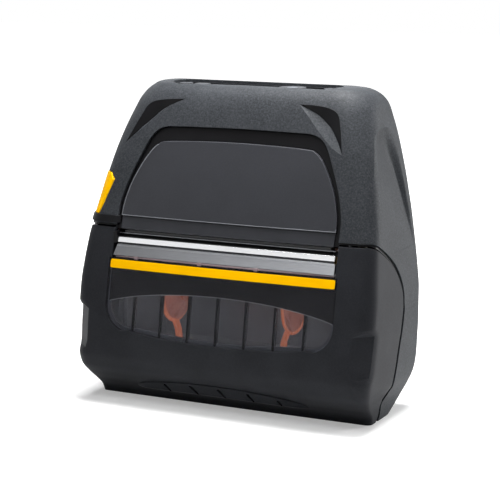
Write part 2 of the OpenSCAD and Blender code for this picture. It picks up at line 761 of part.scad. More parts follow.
// Print head stack
module printhead() {
  color("#d9d5c6") box(-head_len / 2, head_len / 2, head_front, head_front + 11, head_z, head_z + head_t);
}
module head_heatsink() {
  color("#a7aaae") difference() {
    box(-head_len / 2, head_len / 2, head_front + 2.6, head_front + 12, head_z + head_t, bracket_z);
    for (y = [4.4, 6.9, 9.4])
      box(-head_len / 2 - 1, head_len / 2 + 1, head_front + y, head_front + y + 1.2, head_z + head_t + 1.4,
        bracket_z - 1);
  }
}
module head_bracket() {
  color("#b4b6ba") box(-head_len / 2 - 1, head_len / 2 + 1, head_front + 3, head_front + 12, bracket_z,
    bracket_z + bracket_t);
}
module head_springs() {
  color("#c8cacc") for (s = [-1, 1]) translate([s * spring_x, beam_y, bracket_z + bracket_t]) difference() {
    cylinder(h = beam_z - bracket_z - bracket_t, r = spring_r);
    translate([0, 0, -1]) cylinder(h = 20, r = spring_r - 0.6);
  }
}

// Stepper motor and the gear train
motor_r = 9.5;
motor_len = 15.6;
motor_shaft_r = 1;
module step_motor() {
  color("#6f7276") difference() {
    union() {
      rod_x(plate_half - motor_len, plate_half, motor_at[0], motor_at[1], motor_r);
      rod_x(plate_half - 0.1, plate_half + plate_w, motor_at[0], motor_at[1], 2.4);
    }
    rod_x(plate_half - motor_len + 4, plate_half + 4, motor_at[0], motor_at[1], motor_shaft_r + shaft_play);
  }
}
module motor_pinion() {
  color("#b58b3c") {
    rod_x(plate_half - motor_len + 5, gear_x + gear_w + 0.5, motor_at[0], motor_at[1], motor_shaft_r);
    translate([0, motor_at[0], motor_at[1]]) along_x(gear_x, gear_x + gear_w)
      polygon(gear_outline(motor_teeth, drive_module, backlash, motor_turn));
  }
}
module idler_gear() {
  color("#e3e0d8") translate([0, idler_at[0], idler_at[1]]) difference() {
    along_x(gear_x, gear_x + gear_w)
      polygon(gear_outline(idler_teeth, drive_module, backlash, idler_turn));
    rod_x(gear_x - 1, gear_x + gear_w + 1, 0, 0, 1.5 + shaft_play);
    for (a = [30:60:330]) rotate([a, 0, 0]) rod_x(gear_x - 1, gear_x + gear_w + 1, 6.3, 0, 1.9);
  }
}
module idler_pin() {
  color("#c2c4c8") {
    rod_x(plate_half, gear_x + gear_w + 0.8, idler_at[0], idler_at[1], 1.5);
    rod_x(gear_x + gear_w + 0.2, gear_x + gear_w + 0.8, idler_at[0], idler_at[1], 2.4);
  }
}

// Boards
module main_board() {
  color("#1f5f3a") box(-board_w / 2, board_w / 2, board_y, board_y + 1.6, board_z, board_z + board_h);
}
module board_parts() {
  color("#2e3033") {
    translate([0, board_y, board_z]) {
      box(-14, 4, -1.6, 0, 12, 30);
      box(12, 26, -1.2, 0, 16, 26);
      box(-34, -22, -2.4, 0, 4, 16);
      box(-36, 36, 1.6, 3.4, 2, 6);
      rod_y(-6, 0, 33, 8, 3);
      rod_y(-6, 0, 25, 8, 3);
    }
  }
}
module io_board() {
  color("#1f5f3a") box(io_x, io_x + 1.2, rear_y - 22, rear_y - 3.6, port_z0 - 3, port_z1 + 3);
}
module io_connectors() {
  color("#8d9095") {
    difference() {
      box(io_x - 3.4, io_x, rear_y - 13, rear_y - 3.6, port_z0 + 2, port_z0 + 10);
      box(io_x - 2.9, io_x - 0.5, rear_y - 11, rear_y, port_z0 + 2.6, port_z0 + 9.4);
    }
    difference() {
      box(io_x - 5, io_x, rear_y - 15, rear_y - 3.6, port_z1 - 9, port_z1 - 2);
      rod_y(rear_y - 13, rear_y, io_x - 2.5, port_z1 - 5.5, 1.9);
    }
  }
}
module port_cover() {
  color("#202124") {
    box(port_x0 + 0.75, port_x1, rear_y - port_t - 0.2, rear_y - 0.2, port_z0, port_z1);
    translate([port_x0 + 0.75, rear_y - 0.95, port_z0]) cylinder(h = port_z1 - port_z0, r = 0.75);
  }
}

// Battery, its tray, catch and contacts
module battery_tray() {
  color("#232427") difference() {
    box(-battery_w / 2 - tray_play - tray_t, battery_w / 2 + tray_play + tray_t,
      battery_y - 1 - tray_t, back_y,
      battery_z - tray_play - tray_t, battery_z + battery_h + tray_play + tray_t);
    box(-battery_w / 2 - tray_play, battery_w / 2 + tray_play, battery_y - 1, far,
      battery_z - tray_play, battery_z + battery_h + tray_play);
    box(-latch_tab_w / 2 - 3, latch_tab_w / 2 + 3, back_y - 4, far, battery_z + battery_h - 1, far * 2);
  }
}
module battery_pack() {
  color("#3b3d41") difference() {
    box(-battery_w / 2, battery_w / 2, battery_y, rear_y - 0.25, battery_z, battery_z + battery_h);
    box(-battery_w / 2 - 1, -battery_w / 2 + 6, battery_y - 1, battery_y + 4, battery_z + 8, battery_z + 20);
    // Finger grooves on the outer face
    for (k = [0:3]) box(-16, 16, rear_y - 0.9, far, battery_z + 6 + 3 * k, battery_z + 7.4 + 3 * k);
  }
}
module battery_latch() {
  color("#f0b400") difference() {
    union() {
      box(-latch_tab_w / 2, latch_tab_w / 2, back_y - 0.2, rear_y - 0.4,
        latch_tab_z, latch_tab_z + latch_tab_h);
      box(-latch_tab_w / 2 - 2, latch_tab_w / 2 + 2, back_y - 1.8, back_y - 0.2,
        latch_tab_z, latch_tab_z + 8);
    }
    for (k = [0:2]) box(-5, 5, rear_y - 0.9, far, latch_tab_z + 0.9 + 1.2 * k, latch_tab_z + 1.5 + 1.2 * k);
  }
}
module battery_contacts() {
  color("#c9a14a") for (k = [0:3])
    box(-battery_w / 2 + 1, -battery_w / 2 + 5.4, battery_y - 1, battery_y + 3.4, battery_z + 9 + 2.8 * k,
      battery_z + 10.4 + 2.8 * k);
}
module dock_block() {
  color("#1a1a1c") difference() {
    box(-10, 10, 7, 13, 0.4, wall);
    for (k = [-1.5:1:1.5]) box(k * 4.5 - 1.4, k * 4.5 + 1.4, 8, 12, 0, wall - 0.8);
  }
}
module dock_contacts() {
  color("#c9a14a") for (k = [-1.5:1:1.5]) box(k * 4.5 - 1.25, k * 4.5 + 1.25, 8.15, 11.85, 0.5, wall - 0.8);
}

// Latch button at the left front corner, and the hook bar that it turns
module latch_button() {
  color("#f5b800") {
    intersection() {
      difference() {
        slice(button_low - 2, button_high + 2, -button_proud);
        slice(button_low - 3, button_high + 3, button_deep);
      }
      button_path(0, -far, button_path_end);
    }
    // Boss and guide for the spring
    rotate([0, 0, button_dir]) {
      rod_x(button_end - 3.2, button_end, button_mid, button_z, 2.6);
      rod_x(button_end - 1, seat_x - move_gap - latch_travel, button_mid,
        button_z, 1.4);
    }
  }
}
module latch_spring() {
  color("#c8cacc") rotate([0, 0, button_dir]) difference() {
    rod_x(button_end, seat_x, button_mid, button_z, 2.4);
    rod_x(button_end - 1, seat_x + 1, button_mid, button_z, 1.8);
  }
}
module latch_bar() {
  nose_z = platen_z + shaft_r + 0.35;
  color("#a9abb0") {
    rod_x(-hook_x - hook_w, hook_x + hook_w, latch_y, latch_z, latch_rod_r);
    both_sides() along_x(hook_x, hook_x + hook_w) polygon([
      [latch_y - 2.6, latch_z + 1.5], [latch_y + 2, latch_z + 2.6], [latch_y + 2.6, latch_z - 2],
      [platen_y + 3.4, nose_z + 1.5], [platen_y + 2.2, nose_z], [platen_y - 1.5, nose_z],
      [platen_y - 0.8, nose_z + 2.2]
    ]);
  }
}

// Hinge
module hinge_pin() {
  color("#c2c4c8") rod_x(-outer_lug - lug_w, outer_lug + lug_w, hinge_y, hinge_z, hinge_pin_r);
}
module hinge_spring() {
  color("#9da0a4") difference() {
    rod_x(-18, 18, hinge_y, hinge_z, hinge_pin_r + 1);
    rod_x(-19, 19, hinge_y, hinge_z, hinge_pin_r + 0.2);
  }
}
module media_sensor() {
  color("#1c1d20") difference() {
    box(-5, 5, latch_y + 6, latch_y + 12, bay_top - 3, bay_top);
    for (s = [-1, 1]) translate([s * 2, latch_y + 9, bay_top - 4]) cylinder(h = 3, r = 0.9);
  }
}

// Media cover
knuckle_r = 3.1;
module lug_room(x0, x1) {
  rod_x(x0, x1, hinge_y, hinge_z, 3.3);
  box(x0, x1, hinge_y - 1.2, hinge_y + heel_r + 1, -1, hinge_z + 3.3);
}
module knuckle(x0, x1) {
  difference() {
    union() {
      rod_x(x0, x1, hinge_y, hinge_z, knuckle_r);
      box(x0, x1, hinge_y - 3, hinge_y + 1, 1, hinge_z);
    }
    rod_x(x0 - 1, x1 + 1, hinge_y, hinge_z, hinge_pin_r + shaft_play);
  }
}
module media_cover() {
  color("#2c2d31") {
    difference() {
      intersection() {
        body_form();
        zone(0);
      }
      hollow_form();
      box(-mouth_half, mouth_half, -far, hinge_y, window_top, far);
      along_y(-far, hinge_y - 5) polygon(window_outline(-fit_gap));
      corner_scoops();
      both_sides() lug_room(outer_lug - lug_play, outer_lug + lug_w + lug_play);
      both_sides() lug_room(inner_lug - lug_play, inner_lug + lug_w + lug_play);
      rod_x(-18.5, 18.5, hinge_y, hinge_z, hinge_pin_r + 1.4);
    }
    both_sides() knuckle(inner_lug + lug_w + 2.5, outer_lug - 3);
  }
}
liner_edge = 6;
liner_low = window_low - 7.6;
clear_top = window_top - 14.2;
module liner_zone() {
  box(-window_half - liner_edge, window_half + liner_edge, -far, hinge_y, liner_low, window_top);
}
module cover_liner() {
  color("#1a1b1e") {
    intersection() {
      front_skin(liner_low, window_top, wall + 0.05, wall + 1.5);
      difference() {
        liner_zone();
        along_y(-far, 0) intersection() {
          polygon(window_outline(1.2));
          polygon(concat(band_edge(), [[window_half, 0], [-window_half, 0]]));
        }
      }
    }
    intersection() {
      front_skin(window_low - 4.6, clear_top + 2, wall + 0.05, wall + rib_deep);
      for (k = [0:rib_count - 1]) let (x = (k - (rib_count - 1) / 2) * rib_pitch)
        box(x - rib_t / 2, x + rib_t / 2, -far, hinge_y, window_low, clear_top + 1);
    }
  }
}
module window_lens() {
  color([0.25, 0.25, 0.27, 0.6]) intersection() {
    front_skin(window_low - 1, window_top, lens_in, lens_in + lens_t);
    along_y(-far, 0) polygon(window_outline(0));
  }
}
module window_band() {
  color("#0c0c0d") intersection() {
    front_skin(window_top - 22.6, window_top, lens_in + lens_t + 0.02, wall);
    along_y(-far, 0) difference() {
      polygon(window_outline(0.4));
      polygon(concat(band_edge(), [[window_half, 0], [-window_half, 0]]));
    }
  }
}
module yellow_stripe() {
  color("#f5b800") intersection() {
    front_skin(stripe_z - 1, stripe_z + stripe_h + 0.8, 0, lens_in - 0.02);
    along_y(-far, 0) translate([0, stripe_z + stripe_h / 2]) rounded(2 * window_half - 1, stripe_h, 0.8);
  }
}
front_lean = atan((front_at(82) - front_at(72)) / 10);
plate_half_len = mouth_half - 0.8;
peel_z = window_top + 0.7;
tear_z = peel_z + peel_h + 0.6;
module leaning(z) {
  translate([0, front_at(z) + 1.3, z]) rotate([-front_lean, 0, 0]) children();
}
module peel_plate() {
  color("#8b8d92") leaning(peel_z) box(-plate_half_len, plate_half_len, 0, plate_t, 0, peel_h);
}
module tear_bar() {
  teeth = floor(2 * plate_half_len / tooth_pitch) - 1;
  x0 = -teeth * tooth_pitch / 2;
  color("#e6e7e9") leaning(tear_z) {
    along_y(0, plate_t) polygon(concat(
      [[-x0 + 0.4, 0], [-x0 + 0.4, tear_h]],
      [for (k = [teeth:-1:0]) for (p = k > 0
        ? [[x0 + k * tooth_pitch, tear_h], [x0 + (k - 0.5) * tooth_pitch, tear_h + 0.55]]
        : [[x0, tear_h]]) p],
      [[x0 - 0.4, tear_h], [x0 - 0.4, 0]]
    ));
    box(-plate_half_len + 2, plate_half_len - 2, plate_t - 0.1, plate_t + 0.9, 0, 0.8);
  }
}
ear_x = platen_len / 2 + 1;
ear_w = 2.4;
bush_r = 3.4;
module platen_bracket() {
  web_z = window_top + 0.9;
  color("#77797d") {
    difference() {
      union() {
        leaning(web_z) box(-ear_x - ear_w, ear_x + ear_w, plate_t + 0.05, plate_t + 1.45, 0, tear_z - web_z);
        both_sides() along_x(ear_x, ear_x + ear_w) polygon([
          [front_at(web_z) + 2.9, web_z], [platen_y + 4, web_z], [platen_y + 4.2, platen_z + 2],
          [platen_y + 2.5, platen_z + 4.3], [platen_y - 2.5, platen_z + 4.3],
          [front_at(tear_z) + 2.9, tear_z - 0.3]
        ]);
        box(-ear_x - ear_w, ear_x + ear_w, front_at(web_z) + 2.9, platen_y - 4.3, web_z, web_z + 1.2);
      }
      both_sides() rod_x(ear_x - 1, ear_x + ear_w + 1, platen_y, platen_z, bush_r);
    }
  }
}
module platen_bushes() {
  color("#caa85a") both_sides() difference() {
    union() {
      rod_x(ear_x, ear_x + ear_w, platen_y, platen_z, bush_r);
      rod_x(ear_x + ear_w, ear_x + ear_w + 0.6, platen_y, platen_z, bush_r + 0.5);
    }
    rod_x(ear_x - 1, ear_x + ear_w + 2, platen_y, platen_z, shaft_r + shaft_play);
  }
}
module platen_shaft() {
  color("#c2c4c8") rod_x(-hook_x - hook_w - 0.8, gear_x + gear_w + 0.6, platen_y, platen_z, shaft_r);
}
module platen_rubber() {
  color("#1d1d1f") difference() {
    rod_x(-platen_len / 2, platen_len / 2, platen_y, platen_z, platen_r);
    rod_x(-platen_len, platen_len, platen_y, platen_z, shaft_r);
  }
}
module platen_gear() {
  color("#e3e0d8") translate([0, platen_y, platen_z]) difference() {
    along_x(gear_x, gear_x + gear_w)
      polygon(gear_outline(platen_teeth, drive_module, backlash, platen_turn));
    rod_x(gear_x - 1, gear_x + gear_w + 1, 0, 0, shaft_r);
  }
}

main_housing();
back_cover();
front_bezel();
front_panel();
exit_guard();
top_panel();
display_lens();
display_module();
key_board();
chassis();
head_beam();
rack_tray();
printhead();
head_heatsink();
head_bracket();
head_springs();
step_motor();
motor_pinion();
idler_gear();
idler_pin();
main_board();
board_parts();
io_board();
io_connectors();
port_cover();
battery_tray();
battery_pack();
battery_latch();
battery_contacts();
dock_block();
dock_contacts();
latch_button();
latch_bar();
latch_spring();
hinge_pin();
hinge_spring();
media_sensor();
case_screws();
clip_inserts();
power_key();
menu_key();
nav_ring();
select_key();
feed_key();
support_left();
support_right();
support_pinion();
media_cover();
cover_liner();
window_lens();
window_band();
yellow_stripe();
peel_plate();
tear_bar();
platen_bracket();
platen_bushes();
platen_shaft();
platen_rubber();
platen_gear();
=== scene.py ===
import math

import bmesh
import bpy
import numpy as np
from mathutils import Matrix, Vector


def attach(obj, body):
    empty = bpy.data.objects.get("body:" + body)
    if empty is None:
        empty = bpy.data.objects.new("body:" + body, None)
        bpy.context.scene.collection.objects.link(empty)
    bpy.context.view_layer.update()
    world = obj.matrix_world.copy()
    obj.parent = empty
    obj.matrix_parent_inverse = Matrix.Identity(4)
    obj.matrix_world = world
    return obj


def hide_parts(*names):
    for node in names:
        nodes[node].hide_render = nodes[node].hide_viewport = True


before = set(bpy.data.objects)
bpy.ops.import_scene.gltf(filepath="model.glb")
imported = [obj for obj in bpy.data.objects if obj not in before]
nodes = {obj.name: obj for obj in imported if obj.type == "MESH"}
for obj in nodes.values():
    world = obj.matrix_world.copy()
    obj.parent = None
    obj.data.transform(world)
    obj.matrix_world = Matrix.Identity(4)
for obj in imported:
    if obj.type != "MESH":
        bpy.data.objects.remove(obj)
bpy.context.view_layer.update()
scene = bpy.context.scene
MM = 0.001

# ---------------------------------------------------------------- sizes, in millimetres, as in the CAD
# Outer planes of the case; wall, seam of the cover, gaps of fitted and of moving parts
FRONT, REAR, HALF_W, HEIGHT = -34.25, 34.25, 79.0, 155.5
WALL, SEAM, FIT, MOVE = 2.5, 0.7, 0.15, 0.35
# Joint of housing and back cover, heights of its screws and their distance from the side
BACK_Y, BOSS_HEIGHTS, BOSS_INSET = REAR - 3.75, (26, 74, 128), 11
# Height above which the housing's wall is thicker, behind the flutes and the crescents
THICK_FROM = 86
# Hinge of the cover with its rounded heel, and its seam seen from the side
HINGE_Y, HINGE_Z, HEEL_R = -11.0, 4.5, 5.6
BROW, BELLY, FOOT, HEEL = (-19, 85.6), (11, 53), (3, 15.5), (-4.8, 11)
# Key recess on top; half width of the cover's opening; window with its lens
RECESS_Y = 14.25
MOUTH = 59.5
WINDOW_HALF, WINDOW_TOP = 60.3, 71.6
LENS_IN, LENS_T = 0.3, 1.8
# Direction of the latch button in degrees, and the meeting point of its side and front planes
BUTTON_TURN, BUTTON_X, BUTTON_Y = 36.87, HALF_W - 4.515, FRONT + 15.9
# Finger ledge of the cover: middle and half length
LEDGE_X, LEDGE_HALF = -3, 47
# Media supports: axis of the dish, inner radius of its rim, tooth pitch of the rack, length of the rack
HUB_Y, HUB_Z, RIM_R = -10, 54, 13.7
RACK_PITCH, RACK_FROM, RACK_TO = math.pi * 0.8, -14, 12
# Lean of the print line's face, pitch of the ribs behind the window
FACE_LEAN, RIB_PITCH = 0.268, 15.2
# Past every surface of the case; height step of the visible front; steps of hidden sections
FAR, FINE = 100, 0.8
COARSE = {"nf": 6, "nb": 20, "nr": 4, "ns": 6}

# Height, front lean, rear lean, side lean, front radius, rear radius, bow of the front
STATIONS = np.array([
    [0, 20, 12.2, 5.8, 3, 16, 0.3], [3, 19, 8.8, 5.4, 3, 13.5, 0.3], [7, 15.2, 5.6, 4.8, 3, 9, 0.3],
    [12, 9, 2.4, 3.4, 4, 6, 0.3], [18, 3, 0.8, 1.6, 6.4, 4.2, 0.3], [24, 0.5, 0, 0.8, 9, 3.8, 0.3],
    [27, 0.3, 0, 0.6, 11.2, 3.6, 0.5], [32, 0.4, 0, 0.4, 12, 3.5, 0.8], [44, 1.9, 0, 0, 12, 3.4, 1.3],
    [46.5, 2.3, 0, 0, 10.8, 3.4, 1.4], [49.5, 2.8, 0, 0, 7.4, 3.3, 1.5], [58, 4.4, 0, 0, 7.4, 3.2, 1.6],
    [70, 7.1, 0, 0.8, 7.5, 3.8, 1.6], [80, 9.7, 0, 1.7, 7.8, 4.6, 1.6], [88, 11.9, 0, 2.7, 8.6, 4.9, 1.8],
    [98, 14.9, 0, 4, 10, 5.4, 2.1], [110, 18.6, 0, 5.9, 11, 6.2, 2.2], [122, 22.5, 0, 8.4, 12, 6.2, 2.2],
    [134, 26.5, 0, 11.5, 13.8, 5.8, 2.2], [142, 29.5, 0.2, 14, 15.4, 5.7, 2.1],
    [147, 31.7, 0.8, 15.6, 16.6, 5.8, 2], [150.5, 33.7, 2.1, 17.6, 17.4, 6, 2],
    [153, 36, 4.3, 20.2, 17, 6.2, 2], [154.8, 38.8, 7.3, 24, 13, 5.6, 2],
    [155.5, 41.8, 10.2, 28.5, 9, 5, 2]])


def smooth_curve(x, y, q):
    """Monotone cubic through the points (x, y), read at q."""
    q = np.atleast_1d(np.asarray(q, float))
    h = np.diff(x)
    d = np.diff(y) / h
    m = np.zeros(len(x))
    for i in range(1, len(x) - 1):
        if d[i - 1] * d[i] > 0:
            a, b = 2 * h[i] + h[i - 1], h[i] + 2 * h[i - 1]
            m[i] = (a + b) / (a / d[i - 1] + b / d[i])
    m[0], m[-1] = d[0], d[-1]
    i = np.clip(np.searchsorted(x, q) - 1, 0, len(x) - 2)
    t = (q - x[i]) / h[i]
    return ((2 * t**3 - 3 * t**2 + 1) * y[i] + (t**3 - 2 * t**2 + t) * h[i] * m[i]
            + (3 * t**2 - 2 * t**3) * y[i + 1] + (t**3 - t**2) * h[i] * m[i + 1])


def sections(zs):
    """The columns of STATIONS after the height, read at the heights zs."""
    return np.stack([smooth_curve(STATIONS[:, 0], STATIONS[:, k], zs) for k in range(1, 7)], 1)


def arc(cx, cy, r, a0, a1, n):
    """Points of an arc in n steps, angles in degrees."""
    return [(cx + r * math.cos(math.radians(a0 + (a1 - a0) * i / n)),
             cy + r * math.sin(math.radians(a0 + (a1 - a0) * i / n))) for i in range(n + 1)]


def bezier(a, b, c, d, n):
    """Points of a cubic curve in n steps."""
    a, b, c, d = map(np.array, (a, b, c, d))
    return [tuple((1 - t)**3 * a + 3 * t * (1 - t)**2 * b + 3 * t * t * (1 - t) * c + t**3 * d)
            for t in np.linspace(0, 1, n + 1)]


def mirrored(half):
    """Outline closed by the mirror image of its right half."""
    return list(half) + [(-x, z) for x, z in reversed(half)]


def ring(s, t, nf=12, nb=56, nr=8, ns=24):
    """Outline of one section, drawn in by t.

    The steps are nf at a front corner, nb along front and back, nr at a rear corner and ns along a side.
    """
    w, f, r = HALF_W - s[2] - t, FRONT + s[0] + t, REAR - s[1] - t
    rf, rr, bow = max(s[3] - t, 0.6), max(s[4] - t, 0.6), s[5]
    xf = w - rf
    right = arc(xf, f + bow + rf, rf, 270, 360, nf)
    rear = arc(w - rr, r - rr, rr, 0, 90, nr)
    side = [(w, right[-1][1] + (rear[0][1] - right[-1][1]) * i / ns) for i in range(1, ns)]
    half = right + side + rear
    front = [(x, f + bow * (x / xf)**2) for x in np.linspace(-xf, xf, nb + 1)[1:-1]]
    back = [(x, r) for x in np.linspace(w - rr, rr - w, nb + 1)[1:-1]]
    return front + half + back + [(-x, y) for x, y in reversed(half)]


def heights(z0, z1, step=1.25):
    """Even heights, closer together where the top and the foot round off."""
    zs = [z0]
    while zs[-1] < z1 - 0.05:
        z = zs[-1]
        zs.append(min(z1, z + (0.3 if z > 150 else 0.6 if z < 24 or z > 140 else step)))
    return np.array(zs)


# ---------------------------------------------------------------- solids
def solid(verts, faces):
    """Closed mesh object in millimetres, faces turned outwards."""
    me = bpy.data.meshes.new("solid")
    me.from_pydata([tuple(map(float, v)) for v in verts], [], faces)
    bm = bmesh.new()
    bm.from_mesh(me)
    bmesh.ops.recalc_face_normals(bm, faces=bm.faces)
    bm.to_mesh(me)
    bm.free()
    ob = bpy.data.objects.new("solid", me)
    scene.collection.objects.link(ob)
    return ob


def stack(rings):
    """Solid through a stack of closed loops with the same number of points."""
    n, m = len(rings[0]), len(rings)
    verts = [p for r in rings for p in r]
    faces = [tuple(range(n)), tuple((m - 1) * n + i for i in range(n))]
    for k in range(m - 1):
        faces += [(k * n + i, k * n + (i + 1) % n, (k + 1) * n + (i + 1) % n, (k + 1) * n + i)
                  for i in range(n)]
    return solid(verts, faces)


def loft(z0, z1, t, step=1.25, **kw):
    """Solid of the body's sections, drawn in by t, a number or a function of the height."""
    zs = heights(z0, z1, step)
    draw = t if callable(t) else lambda z: t
    return stack([[(x, y, z) for x, y in ring(s, draw(z), **kw)]
                  for z, s in zip(zs, sections(np.clip(zs, 0, HEIGHT)))])


def prism(axis, a, b, poly):
    """Polygon drawn across the axis and pulled along it from a to b."""
    put = {"x": lambda p, q, e: (e, p, q), "y": lambda p, q, e: (p, e, q),
           "z": lambda p, q, e: (p, q, e)}[axis]
    return stack([[put(p, q, e) for p, q in poly] for e in (a, b)])


def box(x0, x1, y0, y1, z0, z1):
    return prism("z", z0, z1, [(x0, y0), (x1, y0), (x1, y1), (x0, y1)])


def rod(axis, a, b, p, q, r, n=48):
    return prism(axis, a, b, arc(p, q, r, 0, 360, n)[:-1])


def rounded(cx, cy, w, d, r, n=10):
    """Outline of a rectangle with rounded corners."""
    x, y = w / 2 - r, d / 2 - r
    return (arc(cx + x, cy + y, r, 0, 90, n) + arc(cx - x, cy + y, r, 90, 180, n)
            + arc(cx - x, cy - y, r, 180, 270, n) + arc(cx + x, cy - y, r, 270, 360, n))


def combine(ob, other, how):
    """Boolean of two solids; the other one is used up."""
    mod = ob.modifiers.new("cut", "BOOLEAN")
    mod.operation, mod.solver, mod.object = how, "MANIFOLD", other
    me = bpy.data.meshes.new_from_object(ob.evaluated_get(bpy.context.evaluated_depsgraph_get()))
    ob.modifiers.clear()
    old, gone = ob.data, other.data
    ob.data = me
    bpy.data.objects.remove(other)
    bpy.data.meshes.remove(gone)
    bpy.data.meshes.remove(old)
    return ob


def cut(ob, *others):
    for o in others:
        combine(ob, o, "DIFFERENCE")
    return ob


def join(ob, *others):
    for o in others:
        combine(ob, o, "UNION")
    return ob


def keep(ob, *others):
    for o in others:
        combine(ob, o, "INTERSECT")
    return ob


def points_of(ob):
    return np.array([v.co for v in ob.data.vertices])


def set_points(ob, co):
    ob.data.vertices.foreach_set("co", co.astype(np.float32).ravel())
    ob.data.update()
    return ob


def turned(ob, angle):
    """Turn about the vertical."""
    c, s = math.cos(math.radians(angle)), math.sin(math.radians(angle))
    x, y, z = points_of(ob).T
    return set_points(ob, np.stack([x * c - y * s, x * s + y * c, z], 1))


def mirror_x(ob):
    set_points(ob, points_of(ob) * (-1, 1, 1))
    ob.data.flip_normals()
    return ob


def piece(ob, name, body, material, *stands_for, sharp=35, slot=None):
    """Finished piece: metres, smooth shading broken at sharp edges, its material, body and CAD node."""
    ob.name = ob.data.name = name
    co = np.zeros(len(ob.data.vertices) * 3, np.float32)
    ob.data.vertices.foreach_get("co", co)
    ob.data.vertices.foreach_set("co", co * MM)
    ob.data.update()
    ob.data.shade_smooth()
    ob.data.set_sharp_from_angle(angle=math.radians(sharp))
    ob.data.materials.clear()
    ob.data.materials.append(material)
    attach(ob, body)
    if stands_for:
        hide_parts(*stands_for)
    return ob


# ---------------------------------------------------------------- outlines shared with the CAD
def cover_zone(g):
    """Side view of the space of the media cover, grown by g past its seam."""
    def shift(pts, dy, dz):
        return [(y + dy, z + dz) for y, z in pts]
    upper = bezier(BROW, (-1.5, 77), (11, 68.5), BELLY, 32)
    lower = bezier(BELLY, (11, 47), (2.5, 27.5), FOOT, 24)
    return ([(-FAR, -10), (-FAR, BROW[1] + g)] + shift(upper, 0.7 * g, 0.8 * g)
            + shift(lower, g, -0.2 * g)[1:] + shift([HEEL], 0.6 * g, -0.8 * g)
            + arc(HINGE_Y, HINGE_Z, HEEL_R + g, 20, -90, 20) + [(HINGE_Y, -10)])


def through(points, n=6):
    """Smooth line through the points; the last one only gives the direction at the end."""
    p = [np.array(q, float) for q in [points[0]] + list(points)]
    out = [tuple(p[1])]
    for a, b, c, d in zip(p, p[1:], p[2:], p[3:]):
        k1, k2, k3 = c - a, 2 * a - 5 * b + 4 * c - d, 3 * b - a - 3 * c + d
        out += [tuple(0.5 * (2 * b + k1 * t + k2 * t**2 + k3 * t**3)) for t in np.linspace(0, 1, n + 1)[1:]]
    return out


# Right halves of the front panel and of the black frame round it, in x and height
PANEL = [(57, 91.6), (56.8, 96), (55.9, 101), (54.2, 107), (51.6, 113), (48.6, 118.5),
         (45.2, 123.4), (41.8, 126.4), (37, 127.7), (18, 128.6), (0, 128.9), (-18, 128.6)]
FRAME = [(59, 85.3), (59, 95), (58, 101), (56.2, 107.5), (54, 113.5), (51.2, 120),
         (47.8, 127.4), (44.6, 131.8), (40, 134.2), (32, 134.9), (0, 135.4), (-32, 134.9)]


def outline(points, g=0.0):
    """Closed outline from its right half, grown by g."""
    half = [(x + (g if x > 0.01 else 0), z + (g if z > 90 else 0)) for x, z in through(points)]
    return half + [(-x, z) for x, z in reversed(half[:-1])]


def window_outline(t):
    """Outline of the window, drawn in by t at the sides and below."""
    half = ([(WINDOW_HALF - t, WINDOW_TOP), (WINDOW_HALF - t, 54)]
            + arc(WINDOW_HALF - 12, 49, 12 - t, 0, -75, 16)
            + bezier((47, 37.7 + t), (36, 35.8 + t), (18, 34.7 + t), (0.001, 34.6 + t), 20))
    return mirrored(half)


# Lower edge of the printed band above the clear part of the window
BAND = bezier((-WINDOW_HALF, 50.2), (-30, 59.6), (30, 59.6), (WINDOW_HALF, 50.2), 40)


def front_skin(z0, z1, outer, inner):
    """Slab of the front between two depths below the surface."""
    ob = loft(z0, z1, outer, FINE)
    cut(ob, loft(z0 - 1, z1 + 1, inner, FINE))
    back = float(sections(np.array([z1]))[0][0]) + FRONT + 9
    return keep(ob, box(-FAR, FAR, -FAR, back, -1, 2 * FAR))


def surface_y(x, z):
    """Depth of the front surface at x and z, and its outward normal."""
    def y_at(x, z):
        s = sections(np.array([z]))[0]
        w, f = HALF_W - s[2], FRONT + s[0]
        xf, ax = w - s[3], abs(x)
        if ax <= xf:
            return f + s[5] * (ax / xf)**2
        return f + s[5] + s[3] - math.sqrt(max(s[3]**2 - min(ax - xf, s[3])**2, 0))
    e = 0.2
    slope_x, slope_z = y_at(x + e, z) - y_at(x - e, z), y_at(x, z + e) - y_at(x, z - e)
    return y_at(x, z), Vector((slope_x / (2 * e), -1, slope_z / (2 * e))).normalized()


# ---------------------------------------------------------------- materials
def tree(name, colour, rough, metal=0.0, **more):
    """New material: itself, its node tree, its shader and its coordinates in metres."""
    m = bpy.data.materials.new(name)
    m.use_nodes = True
    nt = m.node_tree
    b = nt.nodes["Principled BSDF"]
    b.inputs["Base Color"].default_value = (*colour, 1)
    b.inputs["Roughness"].default_value = rough
    b.inputs["Metallic"].default_value = metal
    for k, v in more.items():
        b.inputs[k.replace("_", " ")].default_value = v
    co = nt.nodes.new("ShaderNodeTexCoord").outputs["Object"]
    return m, nt, b, co


def add(nt, kind, out=0, props=None, **inputs):
    """New node; each input is a value or the output of another node."""
    n = nt.nodes.new("ShaderNode" + kind)
    for k, v in (props or {}).items():
        setattr(n, k, v)
    for k, v in inputs.items():
        key = int(k[1:]) if k[0] == "i" and k[1:].isdigit() else k.replace("_", " ")
        if isinstance(v, bpy.types.NodeSocket):
            nt.links.new(v, n.inputs[key])
        else:
            n.inputs[key].default_value = v
    return n.outputs[out]


def noise(nt, co, size, detail=2.0, rough=0.5, stretch=None):
    """Noise with grains of the given size in metres; a factor under 1 in stretch draws them out."""
    if stretch:
        co = add(nt, "Mapping", Vector=co, Scale=stretch)
    return add(nt, "TexNoise", Vector=co, Scale=1.0 / size, Detail=detail, Roughness=rough)


def calc(nt, operation, a, b=0.0):
    return add(nt, "Math", props={"operation": operation}, i0=a, i1=b)


def span(nt, value, a, b, c, d):
    """The value, with its range from a to b mapped to c to d."""
    return add(nt, "MapRange", Value=value, From_Min=a, From_Max=b, To_Min=c, To_Max=d)


